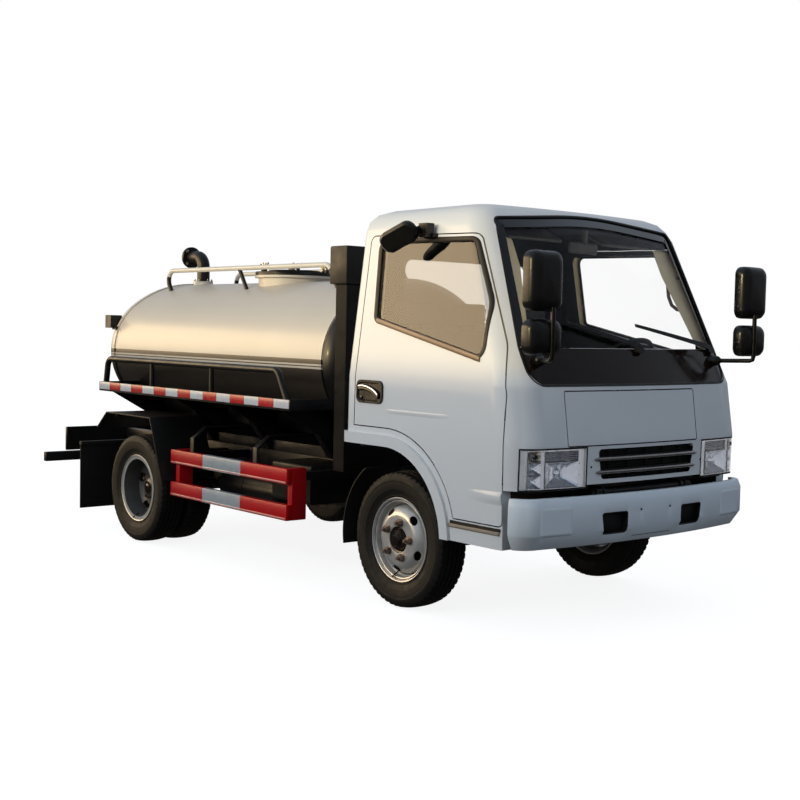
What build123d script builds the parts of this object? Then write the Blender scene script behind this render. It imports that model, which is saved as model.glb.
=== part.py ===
from build123d import *
import os
from math import cos, pi, radians, sin, sqrt

# A small cab-over tanker truck with an oval suction tank.
# Millimetres, +X forward, +Y to the truck's left, +Z up, ground at Z = 0.

# Overall layout
overall_length = 5180
front_overhang = 1045
wheelbase = 2600
front_axle_x = overall_length / 2 - front_overhang
rear_axle_x = front_axle_x - wheelbase
rear_end_x = -overall_length / 2

# Clearances
seat_gap = 0.3
panel_gap = 6
bearing_gap = 0.05

# Wheels and tyres
tyre_radius = 365
tyre_width = 190
bead_radius = 205
rim_flange_radius = 226
rim_width = 146
rim_wall = 8
front_wheel_y = 756
rear_outer_y = 905
dual_spacing = 216
hub_radius = 78
hand_hole_circle = 165
hand_hole_radius = 16
hand_hole_count = 5
spindle_radius = 26
drum_radius = 158

# Steering
kingpin_y = 610
kingpin_radius = 16
steer_arm_reach = 150

# Frame
rail_outer_y = 375
rail_flange = 55
rail_wall = 7
rail_bottom = 500
rail_top = 660
crossmember_bottom = 562
rail_front_x = front_axle_x + 930
lamp_board_x = front_axle_x - 3914
lamp_board_thick = 24
rail_rear_x = lamp_board_x + lamp_board_thick / 2

# Cab
cab_rear_reach = 430
cab_rear_x = front_axle_x - cab_rear_reach
cab_wall = 50
sill_bottom = 432
door_front_x = front_axle_x + 820
door_rear_x = front_axle_x - 340
door_bottom = 542
front_cut_x = door_front_x
front_cut_z = 722
nose_bottom = 740
lamp_bottom = 726
lamp_top = 921
lamp_inner_y = 458
lamp_rear_x = front_axle_x + 889
screen_bottom = 1222
glass_bottom = 1406
glass_thick = 6
glass_inset = 12
lid_right = 584
lid_left = 410
lid_bottom = 928
lid_top = screen_bottom - 20
arch_top = 860
arch_radius = 455
arch_front_x = front_axle_x + 395
arch_strip = 34
flare_width = 60
flare_out = 18
floor_low = 702
floor_high = 905
floor_thick = 34
floor_half = 822
floor_notch_half = 790

# Concealed hinges
hinge_setback = 40
hinge_depth = 11
hinge_height = 36
hinge_barrel = 7
hinge_pin = 4
door_hinge_x = door_front_x - panel_gap - hinge_setback
door_hinge_y = 882 - hinge_depth
lid_hinge_z = lid_top - panel_gap - hinge_setback
lid_hinge_x = front_axle_x + 954 - hinge_depth
DOOR_HINGES = (770, 1080)
LID_HINGES = (-180, 90)
HINGES = (("right", DOOR_HINGES), ("left", DOOR_HINGES), ("lid", LID_HINGES))
tilt_pivot_x = front_axle_x + 945
tilt_pivot_z = 690
tilt_tube_radius = 18

# Tank
tank_front_x = front_axle_x - 935
tank_straight = 2600
tank_front_head = 120
tank_rear_head = 190
tank_rear_x = tank_front_x - tank_straight
tank_half_width = 682
tank_half_height = 517
tank_side_radius = 430
tank_centre_z = 1274
seam_width = 34
seam_height = 7
manhole_x = front_axle_x - 2180
manhole_radius = 250
manhole_wall = 18
manhole_top = 1832
manhole_depth = 180
lid_thick = 26
vent_x = front_axle_x - 3400
vent_radius = 48
vent_z = 2003
vent_flange_x = vent_x - 170
outlet_z = tank_centre_z - 190
outlet_reach = 200
outlet_x = tank_rear_x - tank_rear_head - outlet_reach
pipe_flange_radius = 82
pipe_flange_thick = 20
pipe_bore_radius = 40
pipe_bore_depth = 60
pipe_bolt_circle = 66
pipe_bolt_hole = 7
pipe_bolt_count = 4

# Trays and rails
tray_front_x = front_axle_x - 870
tray_rear_x = front_axle_x - 3250
tray_outer_y = 942
tray_floor_z = 996
tray_top_z = 1062
tray_wall = 8
tray_rail_z = 1226
tray_rail_radius = 21
top_rail_y = 300
top_rail_z = 1882
top_rail_radius = 17
top_rail_lean = 120

# Side guards, fenders and rear end
guard_outer_y = 962
guard_depth = 40
guard_front_x = front_axle_x - 859
guard_rear_x = front_axle_x - 2185
guard_bands = [(362, 454), (573, 664)]
fender_outer_y = 1008
fender_inner_y = 600
fender_thick = 8
stay_y = 540
flap_x = front_axle_x - 3465
flap_outer_y = 980
flap_bottom = 122
rear_bar_half = 960
rear_bar_thick = 44

# Mirrors
mirror_reach = 1042
mirror_y = 822
mirror_width = 214
mirror_depth = 78

# Bumper
bumper_front_x = overall_length / 2
bumper_half = 890
bumper_wall = 30
bumper_bow = 60
bumper_corner = 118
bumper_bottom = 440
bumper_top = 690
PLATE_HOLES = (-115, 115)
plate_hole_z = 603
plate_hole_radius = 5


def box(x0, x1, y0, y1, z0, z1):
    return Pos((x0 + x1) / 2, (y0 + y1) / 2, (z0 + z1) / 2) * Box(x1 - x0, y1 - y0, z1 - z0)


def rod(start, end, radius):
    """A round bar from one point to another."""
    axis = Vector(end) - Vector(start)
    plane = Plane(origin=start, z_dir=axis)
    return extrude(plane * Circle(radius), amount=axis.length)


def disc_y(x, z, y0, y1, radius):
    return rod((x, y0, z), (x, y1, z), radius)


def disc_z(x, y, z0, z1, radius):
    return rod((x, y, z0), (x, y, z1), radius)


def outline(points, radii, shrink=0):
    """A closed outline with one corner radius for each point, drawn in by shrink."""
    face = make_face(FilletPolyline(*points, radius=radii, close=True))
    if shrink:
        face = offset(face, amount=-shrink, kind=Kind.INTERSECTION).face()
    return face


def side_prism(points, radii, y0, y1, shrink=0):
    """An outline of (x, z) points carried across the truck."""
    face = outline([(x, y0, z) for x, z in points], radii, shrink)
    return extrude(face, amount=y1 - y0, dir=(0, 1, 0))


def front_prism(points, radii, x0, x1, shrink=0):
    """An outline of (y, z) points carried along the truck."""
    face = outline([(x0, y, z) for y, z in points], radii, shrink)
    return extrude(face, amount=x1 - x0, dir=(1, 0, 0))


def plan_prism(points, radii, z0, z1):
    """An outline of (x, y) points carried upward."""
    face = outline([(x, y, z0) for x, y in points], radii)
    return extrude(face, amount=z1 - z0, dir=(0, 0, 1))


def tube_path(points, bend, radius):
    """A round tube along straight runs with one bend radius."""
    path = FilletPolyline(*points, radius=bend)
    plane = Plane(origin=path @ 0, z_dir=path % 0)
    return sweep(plane * Circle(radius), path=path)


def mirrored(shape):
    return mirror(shape, about=Plane.XZ)


def both_sides(shape):
    return Compound(children=[shape, mirrored(shape)])


def revolve_y(points, x, z, y_sign=1):
    """A turned shape about a cross axle: points are (y, radius)."""
    face = make_face(Polyline([(x, y_sign * y, z + r) for y, r in points], close=True))
    return revolve(face, axis=Axis((x, 0, z), (0, 1, 0)))


# Cab form: plan sections from sill to roof, reaches measured from the front axle
CAB_SECTIONS = [
    # height, half width, front reach, bow, corner radius, rear reach, rear corner radius
    (sill_bottom, 880, 985, 45, 170, cab_rear_reach, 60),
    (940, 885, 992, 45, 170, cab_rear_reach, 60),
    (screen_bottom, 882, 954, 50, 170, cab_rear_reach, 60),
    (2010, 780, 590, 42, 130, cab_rear_reach, 60),
    (2066, 762, 552, 42, 125, cab_rear_reach - 4, 64),
    (2106, 724, 512, 42, 110, cab_rear_reach - 22, 76),
    (2130, 656, 456, 40, 90, cab_rear_reach - 66, 90),
    (2162, 150, 180, 12, 60, 60, 60),
]
roof_section = 3


def plan_face(height, half, front, bow, corner, rear, rear_corner):
    """One closed plan outline: bowed nose, round corners, straight sides."""
    bow_x = front - bow
    diagonal = sqrt(0.5)

    def arc_middle(x, y, sign_x, sign_y, radius):
        return (x + sign_x * radius * diagonal, sign_y * (y + radius * diagonal), height)

    nose_mid = [arc_middle(bow_x - corner, half - corner, 1, side, corner) for side in (1, -1)]
    tail_mid = [arc_middle(rear + rear_corner, half - rear_corner, -1, side, rear_corner) for side in (1, -1)]
    tail_left = (rear, half - rear_corner, height)
    side_left = (rear + rear_corner, half, height)
    nose_left = (bow_x - corner, half, height)
    bow_left = (bow_x, half - corner, height)
    tail_right, side_right, nose_right, bow_right = [
        (x, -y, h) for x, y, h in (tail_left, side_left, nose_left, bow_left)]
    edges = [
        Line(tail_right, tail_left),
        ThreePointArc(tail_left, tail_mid[0], side_left),
        Line(side_left, nose_left),
        ThreePointArc(nose_left, nose_mid[0], bow_left),
        ThreePointArc(bow_left, (front, 0, height), bow_right),
        ThreePointArc(bow_right, nose_mid[1], nose_right),
        Line(nose_right, side_right),
        ThreePointArc(side_right, tail_mid[1], tail_right),
    ]
    return make_face(edges)


def cab_form(inset):
    """The closed cab body, every face moved inward by the inset."""
    faces = []
    for row, (height, half, front, bow, corner, rear, rear_corner) in enumerate(CAB_SECTIONS):
        level = height - inset if row >= roof_section else height
        faces.append(plan_face(
            level, half - inset, front_axle_x + front - inset, bow,
            max(corner - 0.6 * inset, 20), front_axle_x - rear + inset, max(rear_corner - 0.6 * inset, 20)))
    return loft(faces, ruled=True)


def cab_layer(outer_inset, inner_inset):
    return cab_form(outer_inset) - cab_form(inner_inset)


# Outlines on the cab, in (x, z) from the side and (y, z) from the front
far = 3000


def side_band(side):
    """The range across the truck that holds one side of the cab."""
    return sorted((side * 560, side * 1000))


def arch_prism(grow, y0, y1):
    """The wheel opening, grown outward by some width."""
    return side_prism([
        (cab_rear_x - 200, arch_top + grow),
        (arch_front_x + grow, arch_top + grow),
        (arch_front_x + grow, 0),
        (cab_rear_x - 200, 0),
    ], [0, arch_radius + grow, 0, 0], y0, y1)


def door_prism(side, shrink):
    """The door's outline through one side of the cab, clear of the strip over the wheel."""
    y0, y1 = side_band(side)
    prism = side_prism([
        (door_front_x, door_bottom),
        (door_front_x, 1180),
        (front_axle_x + 768, 1418),
        (front_axle_x + 513, 1972),
        (door_rear_x, 1990),
        (door_rear_x, door_bottom),
    ], [24, 200, 300, 60, 40, 0], y0, y1, shrink)
    return prism - arch_prism(flare_width + arch_strip + shrink, y0 - 10, y1 + 10)


def door_window_prism(side, shrink):
    y0, y1 = side_band(side)
    x = front_axle_x
    return side_prism([
        (x - 222, 1530),
        (x + 648, 1340),
        (x + 650, 1620),
        (x + 496, 1942),
        (x - 252, 1956),
    ], [40, 60, 160, 50, 50], y0, y1, shrink)


def screen_prism(z0, z1, shrink):
    """The dark front: windscreen above, cowl below, in one outline cut at a height."""
    prism = front_prism([
        (-776, screen_bottom), (776, screen_bottom), (780, 1400), (690, 2058),
        (0, 2112), (-690, 2058), (-780, 1400),
    ], [110, 110, 400, 40, 3000, 40, 400], front_axle_x + 300, far, shrink)
    return prism & box(0, far, -far, far, z0 + shrink, z1 - shrink)


def windscreen_prism(shrink):
    return screen_prism(glass_bottom, far, shrink)


def cowl_prism(shrink):
    return screen_prism(0, glass_bottom, shrink)


def lid_prism(shrink):
    return front_prism([
        (-lid_right, lid_bottom), (lid_left, lid_bottom), (lid_left, lid_top), (-lid_right, lid_top),
    ], [14] * 4, front_axle_x + 600, far, shrink)


def lamp_prism(side, shrink):
    s = shrink
    y0, y1 = sorted((side * (lamp_inner_y + s), side * 1000))
    return box(lamp_rear_x + s, far, y0, y1, lamp_bottom + s, lamp_top - s)


def nose_prism(shrink):
    s = shrink
    half = lamp_inner_y - 4
    return box(front_axle_x + 600, far, -half + s, half - s, 0, lamp_top - s)


def rear_window_prism(shrink):
    points = [(-520, 1480), (520, 1480), (500, 1880), (-500, 1880)]
    return front_prism(points, [60] * 4, cab_rear_x - 50, cab_rear_x + 200, shrink)


def grille_prism(shrink):
    return front_prism([(-352, 762), (352, 762), (380, 912), (-380, 912)], [20] * 4,
                       front_axle_x + 600, far, shrink)


def under_cut():
    """Space below the nose that the bumper fills."""
    half = lamp_inner_y - 4
    cut = box(front_cut_x, far, -far, far, 0, front_cut_z)
    return cut + box(front_cut_x, far, -half, half, 0, nose_bottom)


def cab_skin():
    skin = cab_layer(0, cab_wall)
    skin -= arch_prism(0, -far, far)
    skin -= under_cut()
    return skin


# Concealed hinges of the doors and the front lid.
# Local frame: X toward the fixed panel, Y inward, Z along the axis.
def hinge_plane(kind, level):
    if kind == "lid":
        return Plane(origin=(lid_hinge_x, level, lid_hinge_z), x_dir=(0, 0, 1), z_dir=(0, -1, 0))
    side = {"right": -1, "left": 1}[kind]
    origin = (door_hinge_x, side * door_hinge_y, level)
    return Plane(origin=origin, x_dir=(1, 0, 0), z_dir=(0, 0, -side))


def hinge_arm(plane):
    """A bent arm on the fixed panel with its pin."""
    half = hinge_height / 2
    inner = cab_wall - hinge_depth
    arm = box(-hinge_barrel, hinge_barrel, 0, inner + 17, -half, half)
    arm += rod((0, 0, -half), (0, 0, half), hinge_barrel)
    reach = hinge_setback + panel_gap
    arm += box(-hinge_barrel, reach + 15, inner + 5, inner + 17, -half, half)
    arm += box(reach + 3, reach + 15, inner - 6, inner + 17, -half, half)
    arm += rod((0, 0, -half - 14), (0, 0, half + 14), hinge_pin)
    return plane * arm


def hinge_pocket(plane):
    """What the moving panel leaves free for the arm and its pin."""
    half = hinge_height / 2 + 3
    inner = cab_wall - hinge_depth
    pocket = box(-hinge_barrel - 4, hinge_setback + 20, -hinge_barrel - 1.5, inner + 60, -half, half)
    pocket += rod((0, 0, -half - 15), (0, 0, half + 15), hinge_pin + bearing_gap)
    return plane * pocket


def make_cab(parts):
    skin = cab_skin()
    shell = skin
    for side in (1, -1):
        shell -= door_prism(side, 0)
        shell -= lamp_prism(side, 0)
    shell -= screen_prism(0, far, 0)
    shell -= lid_prism(0)
    shell -= nose_prism(0)
    shell -= rear_window_prism(0)
    for kind, levels in HINGES:
        for level in levels:
            shell += hinge_arm(hinge_plane(kind, level))
    parts["cab_shell"] = shell

    glass_layer = cab_layer(glass_inset, glass_inset + glass_thick)
    front_pane = glass_layer & windscreen_prism(seat_gap)
    front_pane &= box(front_axle_x + 300, far, -far, far, 0, far)
    rear_pane = glass_layer & rear_window_prism(seat_gap)
    parts["cab_glass"] = Compound(children=[front_pane, rear_pane])
    cowl = cab_layer(6, cab_wall) & cowl_prism(seat_gap)
    for side in (1, -1):
        cowl -= door_prism(side, 0)
    parts["cowl_panel"] = cowl
    lid = skin & lid_prism(panel_gap)
    for level in LID_HINGES:
        lid -= hinge_pocket(hinge_plane("lid", level))
    parts["front_lid"] = lid

    nose = skin & nose_prism(seat_gap)
    parts["front_panel"] = nose - grille_prism(0)
    parts["grille"] = make_grille()
    lamps = [cab_layer(3, cab_wall) & lamp_prism(side, seat_gap) for side in (1, -1)]
    parts["headlamps"] = Compound(children=lamps)
    flare = cab_layer(-flare_out, -seat_gap) & arch_prism(flare_width, -far, -500)
    flare -= arch_prism(0, -far, far)
    flare &= box(cab_rear_x, front_cut_x, -far, -500, sill_bottom, 1200)
    parts["wheel_flares"] = both_sides(flare)

    for side, name in ((-1, "right"), (1, "left")):
        door = skin & door_prism(side, panel_gap)
        door -= door_window_prism(side, 0)
        for level in DOOR_HINGES:
            door -= hinge_pocket(hinge_plane(name, level))
        parts["door_" + name] = door
        parts["door_glass_" + name] = glass_layer & door_window_prism(side, seat_gap)
        parts["door_handle_" + name] = make_handle(side)


def make_grille():
    """A dark back plate with two cross bars."""
    grille = grille_prism(seat_gap) & cab_layer(34, cab_wall)
    for z, half in ((800, 352), (864, 364)):
        bar = front_prism([(-half, z - 13), (half, z - 13), (half + 3, z + 13), (-half - 3, z + 13)], [6] * 4,
                          front_axle_x + 600, far)
        grille += bar & cab_layer(6, 40)
    return grille


def make_handle(side):
    """A pull handle set in a bezel on the door's skin."""
    x, z = front_axle_x - 201, 1142
    y0, y1 = side_band(side)
    bezel = side_prism([
        (x - 94, z - 48), (x + 94, z - 48), (x + 94, z + 48), (x - 94, z + 48),
    ], [32] * 4, y0, y1)
    pocket = side_prism([
        (x - 76, z - 34), (x + 76, z - 34), (x + 76, z + 12), (x - 76, z + 12),
    ], [18] * 4, y0, y1)
    return (bezel & cab_layer(-16, -seat_gap)) - (pocket & cab_layer(-40, -6))


def make_cab_inside(parts):
    room = cab_form(cab_wall + panel_gap)
    x = front_axle_x
    rear = cab_rear_x + cab_wall
    t = floor_thick
    riser_x = x + 440
    sheet = side_prism([
        (rear, floor_high), (riser_x, floor_high), (riser_x, floor_low), (x + 870, floor_low),
        (x + 912, floor_low + 60), (x + 912, floor_low + 100), (x + 858, floor_low + t),
        (riser_x + t, floor_low + t), (riser_x + t, floor_high + t), (rear, floor_high + t),
    ], [0] * 10, -far, far)
    floor = sheet & cab_form(cab_wall)
    floor &= box(0, far, -floor_half, floor_half, 0, far)
    for side in (1, -1):
        y0, y1 = sorted((side * floor_notch_half, side * far))
        floor -= box(x + 690, far, y0, y1, 0, far)
    for side in (1, -1):
        y0, y1 = sorted((side * 296, side * 318))
        lug = box(x + 820, tilt_pivot_x, y0, y1, floor_low - 2, tilt_pivot_z + 28)
        lug += disc_y(tilt_pivot_x, tilt_pivot_z, y0, y1, 28)
        lug -= disc_y(tilt_pivot_x, tilt_pivot_z, y0 - 5, y1 + 5, tilt_tube_radius + bearing_gap)
        floor += lug
    parts["cab_floor"] = floor

    dash = side_prism([
        (x + 640, 1010), (x + 800, 1000), (x + 815, 1216), (x + 880, 1226), (x + 870, 1258),
        (x + 710, 1246), (x + 615, 1170),
    ], [30, 10, 6, 6, 12, 50, 40], -680, 680)
    dash += box(x + 795, x + 814, -660, 660, floor_low + t, 1040)
    dash &= room
    parts["dashboard"] = dash

    seats = []
    seat_z = floor_high + t
    for y, half in ((400, 250), (-300, 400)):
        seat = box(x - 300, x + 260, y - half, y + half, seat_z, seat_z + 130)
        seat += side_prism([
            (x - 300, seat_z), (x - 190, seat_z), (x - 250, 1640), (x - 340, 1640),
        ], [20] * 4, y - half, y + half)
        seats.append(seat)
    parts["seats"] = Compound(children=seats)

    hub = Vector(x + 430, 400, 1325)
    lean = Vector(-0.62, 0, 0.78)
    ring = Plane(origin=hub, z_dir=lean)
    wheel = ring * Torus(198, 15)
    wheel += ring * Cylinder(46, 30)
    for turn in (90, 210, 330):
        spoke = Vector(cos(radians(turn)), sin(radians(turn)), 0) * 198
        wheel += rod(hub, ring.from_local_coords(spoke), 11)
    wheel += rod(hub, hub - lean.normalized() * 300, 24)
    parts["steering_wheel"] = wheel - dash


def make_bumper():
    """A bowed shell in two heights, chin drawn in, with lamp pockets."""
    sections = [
        # height, pull back
        (bumper_bottom, 44),
        (bumper_bottom + 76, 0),
        (bumper_top - 40, 0),
        (bumper_top, 14),
    ]
    tail = front_axle_x + 868

    def form(inset):
        faces = [plan_face(z, bumper_half - pull * 0.5 - inset, bumper_front_x - pull - inset, bumper_bow,
                           bumper_corner - inset * 0.6, tail - 120, 40) for z, pull in sections]
        return loft(faces, ruled=True)

    shell = form(0) - form(bumper_wall)
    shell -= box(front_axle_x, tail, -far, far, 0, 1000)
    for side in (1, -1):
        outer, inner = side * 394, side * 213
        pocket = front_prism([(inner, 492), (outer * 0.955, 492), (outer, 602), (inner, 602)], [14] * 4,
                             front_axle_x + 900, far)
        shell -= pocket
    for side in (1, -1):
        y0, y1 = sorted((side * 322, side * 372))
        arm = box(rail_front_x + seat_gap, bumper_front_x - 10, y0, y1, 610, 645)
        shell += arm & form(bumper_wall / 2)
    for y in PLATE_HOLES:
        shell -= rod((front_axle_x + 900, y, plate_hole_z), (far, y, plate_hole_z), plate_hole_radius)
    return shell


def channel(x0, x1, side):
    y_out, y_in = side * rail_outer_y, side * (rail_outer_y - rail_flange)
    web = side * (rail_outer_y - rail_wall)
    w = rail_wall
    points = [
        (y_out, rail_bottom), (y_out, rail_top), (y_in, rail_top), (y_in, rail_top - w),
        (web, rail_top - w), (web, rail_bottom + w), (y_in, rail_bottom + w), (y_in, rail_bottom),
    ]
    return front_prism(points, [0] * 8, x0, x1)


def make_frame(parts):
    parts["frame_rails"] = Compound(children=[channel(rail_rear_x, rail_front_x, side) for side in (1, -1)])
    half = rail_outer_y - rail_wall - seat_gap
    stations = [780, -820, -1250, -2050, -2960, -3700]
    members = []
    for reach in stations:
        x = front_axle_x + reach
        low, high = crossmember_bottom, rail_top - 22
        tube = box(x - 35, x + 35, -half, half, low, high)
        tube -= box(x - 27, x + 27, -half - 1, half + 1, low + 8, high - 8)
        members.append(tube)
    parts["crossmembers"] = Compound(children=members)
    parts["cab_mounts"] = make_cab_mounts()


def make_cab_mounts():
    """The front tilt tube on its feet, and the rear rest under the cab floor."""
    tube = rod((tilt_pivot_x, -392, tilt_pivot_z), (tilt_pivot_x, 392, tilt_pivot_z), tilt_tube_radius)
    for side in (1, -1):
        y0, y1 = sorted((side * 330, side * 372))
        tube += side_prism([
            (front_axle_x + 840, rail_top), (rail_front_x, rail_top),
            (tilt_pivot_x + 26, tilt_pivot_z - 10), (tilt_pivot_x + 26, tilt_pivot_z + 24),
            (tilt_pivot_x - 26, tilt_pivot_z + 24), (tilt_pivot_x - 34, rail_top + 12),
            (front_axle_x + 840, rail_top + 12),
        ], [0, 0, 0, 10, 10, 0, 0], y0, y1)
    rest_x = front_axle_x - 340
    rest_top = floor_high - 0.5
    rest = box(rest_x - 30, rest_x + 30, -470, 470, rest_top - 60, rest_top)
    for side in (1, -1):
        y0, y1 = sorted((side * (rail_outer_y - rail_flange), side * rail_outer_y))
        rest += box(rest_x - 30, rest_x + 30, y0, y1, rail_top, rest_top - 50)
    return Compound(children=[tube, rest])


def leaf_spring(x, y, half_length, low, eye_z, width):
    """Stacked leaves bowed down at the axle, with eyes and hangers on the rail."""
    rise = eye_z - low
    radius = (half_length ** 2 + rise ** 2) / (2 * rise)
    solid = None
    leaf = 11
    for count, share in enumerate((1.0, 0.8, 0.58, 0.36)):
        span = half_length * share
        sag = radius - sqrt(radius ** 2 - span ** 2)
        base = low - leaf * count

        def arc(shift):
            return ThreePointArc((x - span, y, base + shift + sag), (x, y, base + shift),
                                 (x + span, y, base + shift + sag))
        top_arc, low_arc = arc(leaf), arc(-0.2)
        face = make_face([top_arc, low_arc, Line(top_arc @ 0, low_arc @ 0), Line(top_arc @ 1, low_arc @ 1)])
        plate = extrude(face, amount=width / 2, dir=(0, 1, 0), both=True)
        solid = plate if solid is None else solid + plate
    for end in (-1, 1):
        eye_x = x + end * half_length
        solid += disc_y(eye_x, eye_z + 10, y - width / 2, y + width / 2, 24)
        hang = box(eye_x - 30, eye_x + 30, y - width / 2, y + width / 2, eye_z + 10, rail_bottom)
        solid += hang
    return solid


front_spring_y = 346
front_spring_half = 540
front_spring_low = 404
rear_spring_half = 590
rear_spring_low = 444
spring_eye_z = 462
spring_width = 62


def make_running_gear(parts):
    front = leaf_spring(front_axle_x, front_spring_y, front_spring_half, front_spring_low, spring_eye_z,
                        spring_width)
    rear = leaf_spring(rear_axle_x, front_spring_y, rear_spring_half, rear_spring_low, spring_eye_z,
                       spring_width)
    parts["leaf_springs"] = Compound(children=[front, mirrored(front), rear, mirrored(rear)])

    z = tyre_radius
    seat_top = front_spring_low - 33.2 - seat_gap
    beam = front_prism([
        (-kingpin_y, z - 34), (-470, z - 40), (-400, z - 70),
        (400, z - 70), (470, z - 40), (kingpin_y, z - 34),
        (kingpin_y, z + 34), (440, z + 26), (400, seat_top), (290, seat_top), (240, z - 12),
        (-240, z - 12), (-290, seat_top), (-400, seat_top), (-440, z + 26), (-kingpin_y, z + 34),
    ], [0] * 16, front_axle_x - 30, front_axle_x + 30)
    for side in (1, -1):
        beam += disc_z(front_axle_x, side * kingpin_y, z - 40, z + 40, 36)
        beam -= disc_z(front_axle_x, side * kingpin_y, z - 60, z + 60, kingpin_radius + bearing_gap)
    parts["front_axle_beam"] = beam

    rear_seat = rear_spring_low - 33.2 - seat_gap
    axle = disc_y(rear_axle_x, z, -rear_hub_y, rear_hub_y, 45)
    axle += disc_y(rear_axle_x, z, -rear_spindle_y, rear_spindle_y, spindle_radius + 8)
    axle += Pos(rear_axle_x, 0, z) * Sphere(150)
    axle += rod((rear_axle_x, 0, z + 8), (rear_axle_x + 215, 0, z + 26), 62)
    for side in (1, -1):
        y = side * front_spring_y
        axle += box(rear_axle_x - 60, rear_axle_x + 60, y - 36, y + 36, z - 20, rear_seat)
    parts["rear_axle"] = axle
    x = front_axle_x
    gearbox_end_x = x - 730
    engine = side_prism([
        (gearbox_end_x, 440), (x - 300, 452), (x + 330, 470), (x + 380, 520), (x + 380, 820), (x + 330, 862),
        (x - 250, 850), (x - 330, 640), (gearbox_end_x, 610),
    ], [20] * 9, -270, 270)
    for reach in (150, -560):
        half = rail_outer_y - rail_wall - seat_gap
        engine += box(x + reach - 40, x + reach + 40, -half, half, 556, 604)
    parts["engine"] = engine
    shaft = rod((gearbox_end_x + 5, 0, 500), (rear_axle_x + 214, 0, z + 26), 36)
    parts["driveshaft"] = shaft - engine - axle


rear_hub_y = rear_outer_y - dual_spacing / 2 - 96
rear_spindle_y = rear_outer_y - 62 + 16


def tyre_profile(centre):
    half = tyre_width / 2
    bead = rim_width / 2 - 9 - seat_gap
    r = tyre_radius
    return [
        (centre - bead, bead_radius), (centre - bead, rim_flange_radius + 2), (centre - half + 4, r - 92),
        (centre - half, r - 60), (centre - half + 10, r - 24), (centre - half + 26, r - 6),
        (centre - 40, r - 1), (centre, r), (centre + 40, r - 1),
        (centre + half - 26, r - 6), (centre + half - 10, r - 24), (centre + half, r - 60),
        (centre + half - 4, r - 92), (centre + bead, rim_flange_radius + 2), (centre + bead, bead_radius),
    ]


def rim_points(centre, disc_outer, hub_radius_inner, dish):
    """Rim barrel with flanges and a disc whose face stands at disc_outer."""
    half = rim_width / 2
    seat = bead_radius - seat_gap
    t = rim_wall
    return [
        (centre - half, rim_flange_radius), (centre - half + 8, rim_flange_radius - 4),
        (centre - half + 9, seat), (centre - 30, seat - 10), (centre + 30, seat - 10),
        (centre + half - 9, seat), (centre + half - 8, rim_flange_radius - 4),
        (centre + half, rim_flange_radius),
        (centre + half - 2, seat - t), (centre + 28, seat - 10 - t),
        (disc_outer - dish, 188 - t), (disc_outer - dish * 0.25, 160), (disc_outer, 140),
        (disc_outer, hub_radius_inner), (disc_outer - t, hub_radius_inner),
        (disc_outer - t, 138), (disc_outer - dish * 0.25 - t, 154), (disc_outer - dish - 10, 186 - t),
        (centre - 28, seat - 10 - t), (centre - half + 2, seat - t),
    ]


def wheel_solid(x, side, centre, disc_outer, dish, hub_inner_y, bore):
    z = tyre_radius
    rim = revolve_y(rim_points(centre, disc_outer, hub_radius, dish), x, z, side)
    for i in range(hand_hole_count):
        middle = 2 * pi * (i + 0.25) / hand_hole_count
        hole = None
        for turn in (-0.11, 0, 0.11):
            angle = middle + turn
            hx, hz = x + hand_hole_circle * cos(angle), z + hand_hole_circle * sin(angle)
            y0, y1 = side * (disc_outer - 80), side * (disc_outer + 60)
            bore_through = disc_y(hx, hz, y0, y1, hand_hole_radius)
            hole = bore_through if hole is None else hole + bore_through
        rim -= hole
    hub = revolve_y([
        (hub_inner_y, bore), (hub_inner_y, drum_radius), (hub_inner_y + 70, drum_radius),
        (disc_outer - rim_wall, drum_radius - 30), (disc_outer - rim_wall, hub_radius - 4),
        (disc_outer + 46, hub_radius - 12), (disc_outer + 54, hub_radius - 24), (disc_outer + 54, 0),
        (disc_outer + 20, 0), (disc_outer + 20, bore),
    ], x, z, side)
    return rim + hub


front_disc_y = front_wheel_y + 52
front_hub_inner_y = front_wheel_y - 40
rear_disc_outer_y = rear_outer_y - 62


def make_wheels(parts):
    z = tyre_radius
    bore = spindle_radius + bearing_gap
    rear_bore = spindle_radius + 8 + bearing_gap
    for side, name in ((-1, "right"), (1, "left")):
        parts["wheel_front_" + name] = wheel_solid(front_axle_x, side, front_wheel_y, front_disc_y, 30,
                                                   front_hub_inner_y, bore)
        parts["tyre_front_" + name] = revolve_y(tyre_profile(front_wheel_y), front_axle_x, z, side)
        outer = wheel_solid(
            rear_axle_x, side, rear_outer_y, rear_disc_outer_y, -24, rear_hub_y + 6, rear_bore)
        inner_centre = rear_outer_y - dual_spacing
        inner_rim = revolve_y(rim_points(inner_centre, rear_disc_outer_y - rim_wall - 1, hub_radius, 60),
                              rear_axle_x, z, side)
        parts["wheels_rear_" + name] = outer + inner_rim
        tyres = [revolve_y(tyre_profile(y), rear_axle_x, z, side) for y in (rear_outer_y, inner_centre)]
        parts["tyres_rear_" + name] = Compound(children=tyres)


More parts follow.
